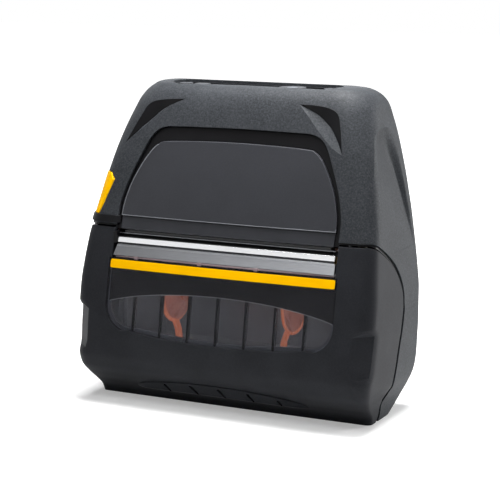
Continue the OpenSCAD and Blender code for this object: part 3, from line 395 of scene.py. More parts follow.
def mix(nt, fac, a, b):
    """Blend of two colours; 6, 7 and 2 are the node's colour sockets."""
    n = nt.nodes.new("ShaderNodeMix")
    n.data_type = "RGBA"
    for key, v in ((0, fac), (6, a), (7, b)):
        if isinstance(v, bpy.types.NodeSocket):
            nt.links.new(v, n.inputs[key])
        else:
            n.inputs[key].default_value = v if key == 0 else (*v[:3], 1)
    return n.outputs[2]


def times(c, k):
    """A colour made lighter or darker."""
    return tuple(min(1.0, x * k) for x in c)


def edges(nt, radius):
    """Rounded normal, and a mask that is 1 on edges."""
    soft = add(nt, "Bevel", props={"samples": 4}, Radius=radius)
    plain_n = nt.nodes.new("ShaderNodeNewGeometry").outputs["Normal"]
    dot = add(nt, "VectorMath", "Value", {"operation": "DOT_PRODUCT"}, i0=soft, i1=plain_n)
    return soft, span(nt, dot, 0.995, 0.8, 0.0, 1.0)


def plastic(name, colour, rough=0.5, grain=0.35e-3, bump=0.12, depth=0.05e-3, flecks=0.0, mottle=0.12,
            bevel=0.25e-3, edge=1.35, spec=0.25):
    """Moulded plastic: fine grain, slow changes of tone, small light and dark flecks, and edges painted
    lighter, a painted highlight with some wear.
    """
    m, nt, b, co = tree(name, colour, rough, Specular_IOR_Level=spec)
    slow = noise(nt, co, 0.02, 3)
    fine = noise(nt, co, grain, 1.5, 0.6)
    tone = mix(nt, span(nt, slow, 0.35, 0.65, 0, 1), times(colour, 1 - mottle), times(colour, 1 + mottle))
    if flecks:
        for size, low, high, gain in ((2.2, 0.42, 0.68, 2.6), (2.6, 0.55, 0.36, 0.45)):
            spots = span(nt, noise(nt, co, grain * size, 2, 0.7), low, high, 0, flecks)
            tone = mix(nt, spots, tone, times(colour, gain))
    # Edges painted lighter by the factor edge: painted highlight, partly wear
    soft, mask = edges(nt, bevel)
    tone = mix(nt, mask, tone, times(colour, edge))
    nt.links.new(tone, b.inputs["Base Color"])
    nt.links.new(span(nt, fine, 0.3, 0.7, rough - 0.06, min(1, rough + 0.06)), b.inputs["Roughness"])
    nt.links.new(add(nt, "Bump", Height=fine, Normal=soft, Strength=bump, Distance=depth), b.inputs["Normal"])
    return m


def metal(name, colour, rough=0.3, brushed=(1, 1, 1), scratch=0.35, left_shade=0.0):
    """Metal with fine lines along one axis, or an even satin surface; the left end can be painted darker as
    shade, and edges are painted lighter as highlight.
    """
    m, nt, b, co = tree(name, colour, rough, 1.0)
    lines = noise(nt, co, 0.25e-3, 3, 0.65, brushed)
    slow = noise(nt, co, 0.012, 3)
    tone = mix(nt, span(nt, lines, 0.3, 0.7, 0, 1),
               times(colour, 1 - 0.5 * scratch), times(colour, 1 + 0.3 * scratch))
    tone = mix(nt, span(nt, slow, 0.4, 0.65, 0, 0.25), tone, times(colour, 0.75))
    # Left end painted darker: painted shade
    if left_shade:
        x = add(nt, "SeparateXYZ", "X", Vector=co)
        tone = mix(nt, span(nt, x, -0.058, 0.058, left_shade, 0), tone, times(colour, 0.25))
    # Edges painted lighter: painted highlight
    soft, mask = edges(nt, 0.12e-3)
    nt.links.new(mix(nt, mask, tone, times(colour, 1.2)), b.inputs["Base Color"])
    nt.links.new(span(nt, lines, 0.3, 0.7, max(0.04, rough - 0.08), rough + 0.1), b.inputs["Roughness"])
    bump = add(nt, "Bump", Height=lines, Normal=soft, Strength=0.25, Distance=0.02e-3)
    nt.links.new(bump, b.inputs["Normal"])
    return m


def glassy(name, colour, rough, alpha):
    """Smoked plastic sheet with a little haze."""
    m, nt, b, co = tree(name, colour, rough, Alpha=alpha, Specular_IOR_Level=0.2)
    haze = noise(nt, co, 0.015, 3)
    nt.links.new(span(nt, haze, 0.3, 0.7, max(0.02, rough - 0.03), rough + 0.04), b.inputs["Roughness"])
    tone = mix(nt, span(nt, haze, 0.4, 0.6, 0, 1), times(colour, 0.9), times(colour, 1.1))
    nt.links.new(tone, b.inputs["Base Color"])
    nt.links.new(edges(nt, 0.2e-3)[0], b.inputs["Normal"])
    return m


def translucent(name, rim, web):
    """Tinted media support: rim and stem painted bright as lit, the thin web inside the rim painted darker as
    shade, edges painted lighter as highlight, and the colour also emitted as a painted glow.
    """
    m, nt, b, co = tree(name, rim, 0.28, Subsurface_Weight=0.25, Coat_Weight=0.3)
    b.inputs["Subsurface Radius"].default_value = (0.004, 0.0015, 0.0008)
    b.inputs["Subsurface Scale"].default_value = 0.5
    dy = calc(nt, "SUBTRACT", add(nt, "SeparateXYZ", "Y", Vector=co), HUB_Y * MM)
    dz = calc(nt, "SUBTRACT", add(nt, "SeparateXYZ", "Z", Vector=co), HUB_Z * MM)
    r = calc(nt, "SQRT", calc(nt, "ADD", calc(nt, "MULTIPLY", dy, dy), calc(nt, "MULTIPLY", dz, dz)))
    # Inside the rim the darker web colour stands for painted shade; rim and stem are painted lit
    inner = span(nt, r, (RIM_R - 0.4) * MM, RIM_R * MM, 1, 0)
    cloud = noise(nt, co, 0.006, 3)
    shaded_web_tone = mix(nt, span(nt, cloud, 0.35, 0.65, 0, 1), times(web, 0.85), times(web, 1.2))
    # Edges painted lighter still: painted highlight
    soft, mask = edges(nt, 0.3e-3)
    tone = mix(nt, mask, mix(nt, inner, rim, shaded_web_tone), times(rim, 1.5))
    nt.links.new(tone, b.inputs["Base Color"])
    # Painted glow: the tone is also emitted, though the support is no lamp
    nt.links.new(tone, b.inputs["Emission Color"])
    b.inputs["Emission Strength"].default_value = 0.65
    nt.links.new(span(nt, cloud, 0.3, 0.7, 0.22, 0.36), b.inputs["Roughness"])
    nt.links.new(soft, b.inputs["Normal"])
    return m


def board(name):
    """Circuit board: solder mask with faint tracks and small pads."""
    colour = (0.012, 0.075, 0.03)
    m, nt, b, co = tree(name, colour, 0.38, Coat_Weight=0.4)
    tracks = add(nt, "TexBrick", "Fac", {"offset": 0.35, "squash": 0.8}, Vector=co, Scale=240.0,
                 Mortar_Size=0.018, Row_Height=0.18, Brick_Width=0.9)
    pads = add(nt, "TexVoronoi", "Distance", Vector=co, Scale=420.0)
    tone = mix(nt, span(nt, tracks, 0, 1, 0, 0.5), colour, times(colour, 2.2))
    tone = mix(nt, span(nt, pads, 0.16, 0.12, 0, 0.8), tone, (0.5, 0.48, 0.42))
    nt.links.new(tone, b.inputs["Base Color"])
    nt.links.new(add(nt, "Bump", Height=tracks, Strength=0.3, Distance=0.03e-3), b.inputs["Normal"])
    return m


def rgb(text):
    """Linear colour from a written one."""
    v = [int(text[i:i + 2], 16) / 255 for i in (1, 3, 5)]
    return tuple(x / 12.92 if x <= 0.04045 else ((x + 0.055) / 1.055)**2.4 for x in v)


# The edge factor paints each plastic's edges lighter, a painted highlight with some wear; strongest on the
# panel and the guard
CASE = plastic("case_texture", rgb("#2d2f32"), 0.5, 0.36e-3, 0.4, 0.07e-3, flecks=0.4, bevel=0.3e-3,
               edge=1.9, spec=0.06)
COVER = plastic("cover_satin", rgb("#232427"), 0.46, 0.3e-3, 0.15, 0.04e-3, flecks=0.15, bevel=0.3e-3,
                edge=2.2, spec=0.04)
BACK = plastic("back_satin", rgb("#34363a"), 0.48, 0.3e-3, 0.25, 0.05e-3, flecks=0.25, bevel=0.3e-3,
               spec=0.15)
BEZEL = plastic("bezel_black", rgb("#0c0c0e"), 0.34, 0.3e-3, 0.06, 0.03e-3, mottle=0.2, spec=0.1)
PANEL_M = plastic("panel_satin", rgb("#292a2e"), 0.38, 0.3e-3, 0.10, 0.03e-3, flecks=0.08, mottle=0.05,
                  bevel=0.4e-3, edge=5.0, spec=0.2)
GUARD = plastic("guard_satin", rgb("#28292d"), 0.4, 0.3e-3, 0.1, 0.03e-3, bevel=0.3e-3, edge=3.0, spec=0.2)
BAND_M = plastic("band_ink", rgb("#161618"), 0.25, 0.3e-3, 0.03, 0.02e-3, mottle=0.08, spec=0.1)
YELLOW = plastic("yellow_satin", rgb("#f3b500"), 0.4, 0.3e-3, 0.08, 0.03e-3, mottle=0.04, edge=1.15,
                 spec=0.03)
INNER = plastic("inner_black", rgb("#303136"), 0.5, 0.35e-3, 0.2, mottle=0.15)
TOP_M = plastic("top_black", rgb("#1b1c1f"), 0.45, 0.3e-3, 0.1, mottle=0.1, spec=0.1)
LINER = plastic("liner_grey", rgb("#5a5c64"), 0.5, 0.35e-3, 0.15, mottle=0.1, spec=0.1)
KEYS = plastic("key_rubber", rgb("#2a2c30"), 0.55, 0.3e-3, 0.2, mottle=0.08)
SELECT = plastic("select_rubber", rgb("#4a4d53"), 0.5, 0.3e-3, 0.2, mottle=0.08)
BATTERY = plastic("battery_case", rgb("#303236"), 0.55, 0.35e-3, 0.3, flecks=0.2)
CATCH = plastic("catch_yellow", rgb("#eaac00"), 0.42, 0.3e-3, 0.1, mottle=0.04, edge=1.15)
GEAR = plastic("gear_nylon", rgb("#d9d5ca"), 0.42, 0.4e-3, 0.1, mottle=0.05, edge=1.05)
CHIP = plastic("chip_black", rgb("#161718"), 0.45, 0.3e-3, 0.15)
SOFT = plastic("port_soft", rgb("#1d1e20"), 0.7, 0.4e-3, 0.3, mottle=0.1)
RUBBER = plastic("platen_black", rgb("#1a1a1b"), 0.62, 0.25e-3, 0.4, mottle=0.15)
# The satin plate's left end is painted darker: painted shade
SATIN = metal("satin_plate", rgb("#a0a2a6"), 0.42, (0.06, 1, 3), scratch=0.5, left_shade=0.75)
BRIGHT = metal("bright_bar", rgb("#e9eaec"), 0.2, (0.05, 1, 2), scratch=0.12)
STEEL = metal("zinc_steel", rgb("#9c9ea2"), 0.38, (1, 0.15, 1))
POLISHED = metal("ground_steel", rgb("#c6c8cb"), 0.16, (8, 1, 1), scratch=0.2)
SINK = metal("cast_alloy", rgb("#a4a7aa"), 0.45, (0.1, 1, 1))
MOTOR = metal("motor_can", rgb("#7d8084"), 0.35, (6, 1, 1))
BRASS = metal("brass", rgb("#c39a4a"), 0.28)
GOLD = metal("gold_plate", rgb("#d8ae58"), 0.2)
BLACK_STEEL = metal("black_screw", rgb("#3a3b3d"), 0.4)
HEAD = plastic("head_glaze", rgb("#17181a"), 0.3, 0.2e-3, 0.05, mottle=0.04)
COMB = metal("comb_steel", rgb("#77797d"), 0.4)
SEAL = plastic("seal_tint", rgb("#7d6d70"), 0.35, 0.3e-3, 0.05, mottle=0.1)
# Light grey of a strip on the panel's edge: painted highlight
PANEL_GLINT = plastic("panel_glint_grey", rgb("#64666b"), 0.4, 0.3e-3, 0.05, mottle=0.1)
# Light grey of a strip on the printed band's edge: painted highlight
BAND_GLINT = plastic("band_glint_grey", rgb("#77797d"), 0.4, 0.3e-3, 0.05, mottle=0.05)
BOARD = board("board_mask")
LENS = glassy("smoked_clear", rgb("#2c2d32"), 0.1, 0.2)
FILM = glassy("film_grey", rgb("#84868e"), 0.3, 0.22)
DISPLAY = glassy("display_glass", rgb("#101417"), 0.22, 1.0)
# Rim colour painted lit, web colour painted in shade, and the support glows
SUPPORT = translucent("support_amber", rgb("#e67a48"), rgb("#a45c46"))


# ---------------------------------------------------------------- moulded case
def body_form():
    """Outside of the case."""
    return loft(0, HEIGHT, 0)


def hollow_form(wall=WALL):
    """Inside of the case, for a wall of its own if one is given."""
    return loft(WALL, HEIGHT - WALL, wall, 2.5, **COARSE)


def button_path(g, x0, x1):
    """Path of the latch button, pushed in along a slanting line from the left front corner."""
    a = math.radians(BUTTON_TURN)
    corner = math.sin(a) * BUTTON_X + math.cos(a) * BUTTON_Y
    front, back, low, high = corner - 2.2 - g, corner + 13 + g, 91.5 - g, 111 + g
    return turned(prism("x", x0, x1, [(front, low), (front, high - 3), (front + g + 3, high), (back, high),
                                      (back, low)]), BUTTON_TURN)


def groove(outer, valley, inner, depth, n=26):
    """Crescent whose steep outer face and broad inner face meet in a deep line: cutter, and a black skin on
    the outer face that is painted shade.
    """
    def even(pts):
        """The smooth line through the points, at n even steps of its length."""
        p = np.array(through(list(pts) + [pts[-1]], 8))
        d = np.concatenate([[0], np.cumsum(np.linalg.norm(np.diff(p, axis=0), axis=1))])
        s = np.linspace(0, d[-1], n)
        return np.stack([np.interp(s, d, p[:, k]) for k in (0, 1)], 1)

    def on_surface(x, z):
        y, normal = surface_y(x, z)
        return np.array((x, y, z)), np.array(normal)

    loops, shade_skins = [], []
    for i, (o, v, q) in enumerate(zip(even(outer), even(valley), even(inner))):
        deep = depth * math.sin(math.pi * min(max(i / (n - 1), 0.01), 0.99))**0.7
        (p_o, n_o), (p_v, n_v), (p_q, n_q) = on_surface(*o), on_surface(*v), on_surface(*q)
        p_v = p_v - n_v * deep
        far_o, far_q = p_o + (p_o - p_v) * 0.8 + n_o * 0.6, p_q + (p_q - p_v) * 0.25 + n_q * 0.6
        loops.append([p.tolist() for p in (far_o, p_o, p_v, p_q, far_q, (far_o + far_q) / 2 + n_v * 3)])
        # Thin black skin on the steep outer face: painted shade
        lift = n_v * 0.12 + (p_q - p_v) * 0.04
        shade_skins.append([p.tolist() for p in (p_o + lift * 0.2, p_v + lift, p_v - lift * 2, p_o - lift * 2)])
    return stack(loops), stack(shade_skins[1:-1])


# Crescents of the shoulders in x and height: outer, deepest and inner line
LINES_R = (
    [(30, 148), (38.4, 147.7), (45.6, 146.6), (50, 144), (52.4, 137.3), (53.8, 131.5), (54.9, 126)],
    [(30, 148), (39.1, 144.6), (45.9, 139.7), (49.5, 135.4), (52.9, 130), (54.9, 126)],
    [(30, 148), (36, 142.2), (40.3, 137.7), (45.1, 133), (49.6, 129.1), (54.9, 126)])
LINES_L = (
    [(-61.6, 125.2), (-60, 128.6), (-58.4, 132), (-56.4, 135.9), (-54.2, 140.3), (-52.3, 143.8), (-49.2, 146),
     (-45.4, 146.9), (-38.6, 147.6), (-31, 148)],
    [(-61.6, 125.2), (-59, 129), (-55.5, 132.9), (-52.4, 136), (-48.9, 139), (-45.5, 142.3), (-41.3, 144.6),
     (-36, 146.5), (-31, 148)],
    [(-61.6, 125.2), (-58.4, 128.6), (-54.2, 132), (-49.6, 136.1), (-46.3, 139), (-41.2, 143.4), (-36, 146),
     (-31, 148)])
CRESCENT_R, SHADE_SKIN_R = groove(*LINES_R, 2.4)
CRESCENT_L, SHADE_SKIN_L = groove(*LINES_L, 2.4)


def surface_x(y, z):
    """Half width of the side surface at y and z."""
    s = sections(np.array([z]))[0]
    w, f = HALF_W - s[2], FRONT + s[0] + s[5] + s[3]
    r = REAR - s[1] - s[4]
    if y < f:
        return w - s[3] + math.sqrt(max(s[3]**2 - (f - y)**2, 0))
    if y > r:
        return w - s[4] + math.sqrt(max(s[4]**2 - (y - r)**2, 0))
    return w


# Flute of the side: height, front edge, deepest line, rear edge, depth
FLUTE = np.array([
    [137.2, 13.5, 15, 17, 0.1], [136.9, 9.5, 14.5, 20.5, 0.35], [136, 6.2, 14, 23.4, 0.9],
    [134.4, 3.4, 14, 24.4, 1.6], [132, 1.6, 14.6, 24.8, 2.3], [129, 0, 15.8, 24.9, 2.7],
    [125, -2, 17.6, 24.8, 2.8], [119.7, -4.6, 19.4, 24.8, 2.7], [113, -7.6, 20.8, 25, 2.4],
    [106, -10, 22.2, 25.8, 2.0], [99, -11.5, 23.6, 26.6, 1.5], [92, -12.5, 25, 27.4, 0.9],
    [86, -13, 26.4, 28.2, 0.4], [80, -13, 27.5, 28.8, 0.1]])


def flute(side):
    """Cutter of the long hollow in a side: it starts crisp in front and runs out softly behind."""
    zs = np.concatenate([np.linspace(80, 128, 40), np.linspace(128.6, 137.2, 26)])
    f = FLUTE[::-1]
    col = [smooth_curve(f[:, 0], f[:, k], zs) for k in range(1, 5)]
    loops = []
    for z, y0, y1, y2, d in zip(zs, *col):
        pts = [(HALF_W + 2, y0 - 1.0), (surface_x(y0, z) + 1.5, y0 - 1.0)]
        for t in np.linspace(0, 1, 14):
            y = y0 + (y1 - y0) * t
            pts.append((surface_x(y, z) + 0.06 * (1 - t)**9 - d * (1 - (1 - t)**2.4), y))
        for t in np.linspace(0, 1, 7)[1:]:
            y = y1 + (y2 - y1) * t
            pts.append((surface_x(y, z) + 0.06 * t**9 - d * (1 - t * t * (3 - 2 * t)), y))
        pts += [(surface_x(y2, z) + 1.5, y2 + 0.4), (HALF_W + 2, y2 + 0.4)]
        loops.append([(side * x, y, z) for x, y in pts])
    return stack(loops)


def corner_scoop(side):
    """Flat finger scoop with crisp lips at a lower front corner of the cover."""
    facing = math.radians(47)
    ux, uy = math.cos(facing), -math.sin(facing)
    loops = []
    for z, deep in ((25.4, -0.3), (26.6, 0.9), (30, 1.2), (38, 1.3), (45.6, 1.5), (48.2, -0.4)):
        s = sections(np.array([z]))[0]
        cx, cy = HALF_W - s[2] - s[3], FRONT + s[0] + s[5] + s[3]
        # Distance of the flat along the facing direction, and its middle across that direction
        out, mid = cx * ux + cy * uy + s[3] - deep, cy * ux - cx * uy
        loops.append([((out + e) * ux - (mid + k) * uy, (out + e) * uy + (mid + k) * ux, z)
                      for e, k in ((0, -14), (20, -14), (20, 14), (0, 14))])
    ob = stack(loops)
    return ob if side > 0 else mirror_x(ob)


def hinge_lug(x0, x1):
    """Eye of the housing for the hinge pin, on an arm from the floor."""
    y, top = HINGE_Y + HEEL_R + SEAM, HINGE_Z + 1.8
    ob = join(rod("x", x0, x1, HINGE_Y, HINGE_Z, 2.8), box(x0, x1, HINGE_Y, y + 4, HINGE_Z - 0.6, top),
              box(x0, x1, y + 0.5, y + 4, WALL - 1, top))
    return cut(ob, rod("x", x0 - 1, x1 + 1, HINGE_Y, HINGE_Z, 1.25))


def knuckle(x0, x1):
    """Eye of the cover for the hinge pin."""
    ob = join(rod("x", x0, x1, HINGE_Y, HINGE_Z, 3.1), box(x0, x1, HINGE_Y - 3, HINGE_Y + 1, 1, HINGE_Z))
    return cut(ob, rod("x", x0 - 1, x1 + 1, HINGE_Y, HINGE_Z, 1.25))


def spans(*pairs):
    """Ranges along x and their mirror images."""
    return [tuple(sorted((s * a, s * b))) for a, b in pairs for s in (1, -1)]


def boss_places():
    """x, height and side of each case screw."""
    for z in BOSS_HEIGHTS:
        x = HALF_W - float(smooth_curve(STATIONS[:, 0], STATIONS[:, 3], z)[0]) - BOSS_INSET
        for side in (1, -1):
            yield side * x, z, side


def screw_boss(x, z, side):
    """Screw post with a web that ends inside the side wall."""
    front, back = BACK_Y - 12, BACK_Y - 0.2
    web = box(*sorted((x, x + side * BOSS_INSET)), front, back, z - 1.2, z + 1.2)
    keep(web, loft(z - 4, z + 4, 1.0 if z < THICK_FROM else 5.2, 4, **COARSE))
    return cut(join(rod("y", front, back, x, z, 3.2), web), rod("y", BACK_Y - 9, BACK_Y + 1, x, z, 1.28))


def make_housing():
    """Housing, open for cover, back cover, frame, key recess, button and charging contacts."""
    def wall(z):
        return WALL + 3.2 * min(1, max(0, (z - THICK_FROM) / 6))
    ob = cut(body_form(), hollow_form(wall),
             prism("x", -FAR, FAR, cover_zone(SEAM + 1.5)), box(-FAR, FAR, BACK_Y, FAR, -1, 2 * FAR),
             prism("y", -FAR, FRONT + 42, outline(FRAME, FIT)),
             prism("z", HEIGHT - 10, HEIGHT + 10, rounded(0, RECESS_Y, 90, 17, 8)),
             button_path(MOVE + 0.1, -FAR, -50),
             box(-10 - FIT, 10 + FIT, 7 - FIT, 13 + FIT, -1, WALL + 1),
             CRESCENT_R, CRESCENT_L, flute(1), flute(-1))
    for a, b in spans((62, 70), (21.5, 29.5)):
        join(ob, hinge_lug(a, b))
    for place in boss_places():
        join(ob, screw_boss(*place))
    return ob


def make_back():
    """Back cover, open for the battery, its catch and the ports, with two inserts for a clip."""
    ob = cut(body_form(), hollow_form(), box(-FAR, FAR, -FAR, BACK_Y + FIT, -1, 2 * FAR))
    inserts = (20, -20)
    join(ob, *[rod("y", 30.7, REAR - 1, x, 62, 4) for x in inserts])
    cut(ob, box(-42.4, 42.4, BACK_Y - 1, FAR, 89.6, 136.4), box(-8.35, 8.35, BACK_Y - 1, FAR, 136, 143.25),
        box(63.45, 72.15, BACK_Y - 1, FAR, 37.65, 62.35),
        *[rod("y", REAR - 3.3, FAR, x, 62, 2.3) for x in inserts])
    for x, z, _ in boss_places():
        cut(ob, rod("y", BACK_Y - 1, FAR, x, z, 1.5), rod("y", REAR - 1.6, FAR, x, z, 2.8))
    return ob


def ledge_top(u):
    """Height of the finger ledge, u from -1 at its left end to 1 at its right end."""
    return 13.1 - 4.2 * u * u - 1.5 * u**6


def grip_ledge():
    """Lip for the fingers along the lower front of the cover, with five slanting notches."""
    loops = []
    for u in np.linspace(-1, 1, 81):
        x, top = LEDGE_X + LEDGE_HALF * u, ledge_top(u)
        low = min(7.4 - 1.8 * u * u, top - 0.5)
        y = surface_y(x, top)[0]
        y_low, y_in = y + 1.5 * (top - low) / 5.7, surface_y(x, low)[0] + 1.2
        fall = max(0, abs(u) - 0.86) / 0.14
        back = fall * fall * 1.6
        loops.append([(x, y + 1.8, top + 0.9), (x, y - 0.1 + back, top + 0.3),
                      (x, y - 0.7 + back, top - 0.05), (x, y - 0.75 + back, top - 0.5),
                      (x, y_low - 0.45 + back, low + 0.5), (x, y_low + 0.35 + back, low),
                      (x, y_in + 1.0, low - 0.3), (x, y_in + 1.5, low + 0.6)])
    ob = stack(loops)
    for x0, x1 in ((-31, -26.7), (-16.3, -11.1), (-0.8, 3.4), (14.7, 18.6), (29.7, 33.3)):
        middle = 0.5 * (x0 + x1)
        top = ledge_top((middle - LEDGE_X) / LEDGE_HALF)
        y = surface_y(middle, top)[0] + 0.55
        z1, z0 = top - 1.2, top - 6.2
        slot = [(x0 - 0.75, z1), (x0 + 0.75, z1 + 0.2), (x1 + 0.95, z0), (x1 - 0.75, z0)]
        cut(ob, stack([[(x, y - 3, z) for x, z in slot],
                       [(x, y + 0.9 + 0.3 * (z1 - z), z) for x, z in slot]]))
    return ob


def make_cover():
    """Media cover with its window opening, hinge eyes, corner scoops and finger ledge."""
    ob = keep(body_form(), prism("x", -FAR, FAR, cover_zone(0)))
    cut(ob, hollow_form(), box(-MOUTH, MOUTH, -FAR, HINGE_Y, WINDOW_TOP, FAR),
        prism("y", -FAR, HINGE_Y - 5, window_outline(-0.5)), corner_scoop(1), corner_scoop(-1))
    for a, b in spans((61.5, 70.5), (21, 30)):
        cut(ob, rod("x", a, b, HINGE_Y, HINGE_Z, 3.3), box(a, b, HINGE_Y - 1.2, HINGE_Y + 6.6, -1, 7.8))
    cut(ob, rod("x", -18.5, 18.5, HINGE_Y, HINGE_Z, 2.6))
    for a, b in spans((32, 59)):
        join(ob, knuckle(a, b))
    return join(ob, grip_ledge())


piece(make_housing(), "housing_shell", "case", CASE, "main_housing", sharp=17, slot="case_plastic")
piece(make_back(), "back_shell", "case", BACK, "back_cover", slot="back_plastic")
piece(make_cover(), "cover_shell", "cover", COVER, "media_cover", sharp=20, slot="cover_plastic")
# Black band behind the seam between cover and housing: painted shade in the gap
seam_shade_band = keep(loft(0.4, 88.4, 0.9), prism("x", -FAR, FAR, cover_zone(SEAM + 1.6)))
cut(seam_shade_band, loft(-1, 90, 2.4), prism("x", -FAR - 1, FAR + 1, cover_zone(SEAM + 0.3)),
    prism("y", -FAR, FRONT + 42, outline(FRAME, FIT)))
piece(seam_shade_band, "seam_shade", "case", BEZEL, slot="black_plastic")
# Small shelf under the latch button
shelf = keep(cut(loft(86, 91.6, -0.9), loft(85, 92, 1.0)),
             turned(prism("x", -FAR, -50, [(18.5, 88), (19.5, 91.2), (38, 91.2), (38, 88)]), BUTTON_TURN))
piece(shelf, "button_shelf", "case", BEZEL, slot="case_plastic")
# Black skins on the crescents' outer faces: painted shade
piece(SHADE_SKIN_R, "shoulder_shade_right", "case", BEZEL, slot="black_plastic")
piece(SHADE_SKIN_L, "shoulder_shade_left", "case", BEZEL, slot="black_plastic")
# Frame round the front panel, the bare panel with a thin light strip on its edge as painted highlight, and
# the guard above the exit
piece(keep(front_skin(85, 136.4, 1.6, 2.8), prism("y", -FAR, FAR, outline(FRAME))),
      "bezel_frame", "case", BEZEL, "front_bezel")
piece(keep(front_skin(91, 129.9, 0.2, 1.55), prism("y", -FAR, FAR, outline(PANEL))),
      "bare_panel", "case", PANEL_M, "front_panel")
# Light strip on the panel's edge: painted highlight
panel_glint_strip = keep(front_skin(91, 126, 0.1, 0.7), prism("y", -FAR, FAR, outline(PANEL, 0.05)))
cut(panel_glint_strip, prism("y", -FAR - 1, FAR + 1, [(x, max(z, 92.0)) for x, z in outline(PANEL, -0.3)]),
    box(20, 60, 1 - FAR, FAR - 1, 93, 130))
piece(panel_glint_strip, "panel_edge_glint", "case", PANEL_GLINT, slot="panel_plastic")
piece(keep(front_skin(85.3, 91.2, 0.9, 1.55), box(-56.6, 56.6, -FAR, FAR, 84.3, 91.2)),
      "guard_strip", "case", GUARD, "exit_guard")
# Window: lens, printed band behind its upper part, and the stripe along its top
piece(keep(front_skin(33.6, WINDOW_TOP, LENS_IN, LENS_IN + LENS_T), prism("y", -FAR, 0, window_outline(0))),
      "smoked_lens", "cover", LENS, "window_lens")
band = prism("y", -FAR, 0, window_outline(0.4))
cut(band, prism("y", -FAR - 1, 1, BAND + [(WINDOW_HALF, 0), (-WINDOW_HALF, 0)]))
piece(keep(front_skin(49, WINDOW_TOP, LENS_IN + LENS_T + 0.02, WALL), band),
      "printed_band", "cover", BAND_M, "window_band")
piece(keep(front_skin(65.6, 71.5, 0, LENS_IN - 0.02),
           prism("y", -FAR, 0, rounded(0, 68.65, 119.6, 4.1, 0.8))),
      "stripe", "cover", YELLOW, "yellow_stripe")


def rib_rows():
    """Narrow slabs at the ribs behind the window, joined by a bar that lies outside every cut."""
    ob = box(-60, 60, -60, -50, 30, 60)
    for k in range(-3, 4):
        join(ob, box(RIB_PITCH * k - 0.55, RIB_PITCH * k + 0.55, -55, -12, 34.4, 57.6))
    return ob


def leaning(poly, z0, y0, y1):
    """Plate in the plane of the print line's face: x and height above z0, from depth y0 to y1."""
    a = math.atan(FACE_LEAN)
    front = surface_y(0, z0)[0] + 1.3
    return stack([[(x, front + d * math.cos(a) + h * math.sin(a), z0 + h * math.cos(a) - d * math.sin(a))
                   for x, h in poly] for d in (y0, y1)])


def saw(x0, x1, pitch, low, high):
    """Row of teeth from x0 to x1."""
    starts = [x0 + k * pitch for k in range(int((x1 - x0) / pitch))]
    return [p for x in starts for p in ((x, low), (x + 0.5 * pitch, high))] + [(x1, low)]


# Tear bar with teeth, satin plate below it, and the comb of the slot above it
TEAR_Z, PEEL_Z = 79.0, 72.7
tear = leaning([(-57.3, 0), (58.2, 0), (58.2, 2.4), (-57.3, 2.4)], TEAR_Z, 0.05, 0.8)
teeth = leaning([(57.8, 2.2)] + saw(-57.2, 57.8, 0.72, 2.38, 2.95)[::-1] + [(-57.2, 2.2)], TEAR_Z, 0.2, 0.75)
piece(teeth, "tear_teeth", "cover", BLACK_STEEL, slot="steel")
piece(box(-59.4, -57.5, -24, -15, 78.5, 84), "exit_block", "cover", BEZEL, slot="black_plastic")
piece(tear, "tear_blade", "cover", BRIGHT, "tear_bar", slot="polished_steel")
peel = join(leaning([(-58.9, 0), (58.7, 0), (58.7, 5.1), (-57.3, 5.1)], PEEL_Z, 0.0, 0.8),
            leaning([(-57.2, 4.6), (58.6, 4.6), (58.6, 5.35), (-57.0, 5.35)], PEEL_Z, -0.3, 0.6))
piece(peel, "peel_face", "cover", SATIN, "peel_plate", slot="steel")
comb = prism("y", -20.6, -20.25, [(57.5, 83.2)] + saw(-57.5, 57.5, 0.66, 83.1, 82.7)[::-1] + [(-57.5, 83.2)])
piece(comb, "slot_comb", "case", COMB, slot="steel")
# Seal between stripe and satin plate, with three small tabs
edge = keep(front_skin(71.8, 72.4, 0.7, 1.6), box(-57.5, 58.5, -FAR, 0, 70, 74))
for x in (-46, -11, 19):
    join(edge, keep(front_skin(71.3, 72.7, 0.35, 1.5), box(x - 0.9, x + 0.9, -FAR, 0, 70, 74)))
piece(edge, "seal_strip", "cover", SEAL, slot="orange_plastic")
# Behind the clear part of the window: tinted film, ribs, and a light strip along the printed band's lower
# edge, a painted highlight
film = keep(front_skin(33.6, 60, 2.9, 3.0), prism("y", -FAR, 0, window_outline(0.4)))
cut(film, prism("y", -FAR - 1, 1, BAND + [(WINDOW_HALF, 80), (-WINDOW_HALF, 80)]))
piece(film, "window_film", "cover", FILM, slot="smoked_window")
ribs = keep(cut(loft(33, 58, 2.2, FINE), loft(32, 59, 4.6, FINE)), rib_rows())
piece(ribs, "window_ribs", "cover", BAND_M, slot="black_plastic")
# Light strip along the printed band's lower edge: painted highlight
line = BAND + [(x, z - 0.22) for x, z in reversed(BAND)]
piece(keep(front_skin(49, 60, LENS_IN + LENS_T - 0.12, LENS_IN + LENS_T + 0.3), prism("y", -FAR, 0, line),
           prism("y", -FAR, 0, window_outline(0.8))), "band_edge", "cover", BAND_GLINT, slot="black_plastic")


def turned_form(*profile):
    """Solid of revolution round the axis of the media supports: pairs of x and radius."""
    return stack([[(x, p, q) for p, q in arc(HUB_Y, HUB_Z, r, 0, 360, 72)[:-1]] for x, r in profile])


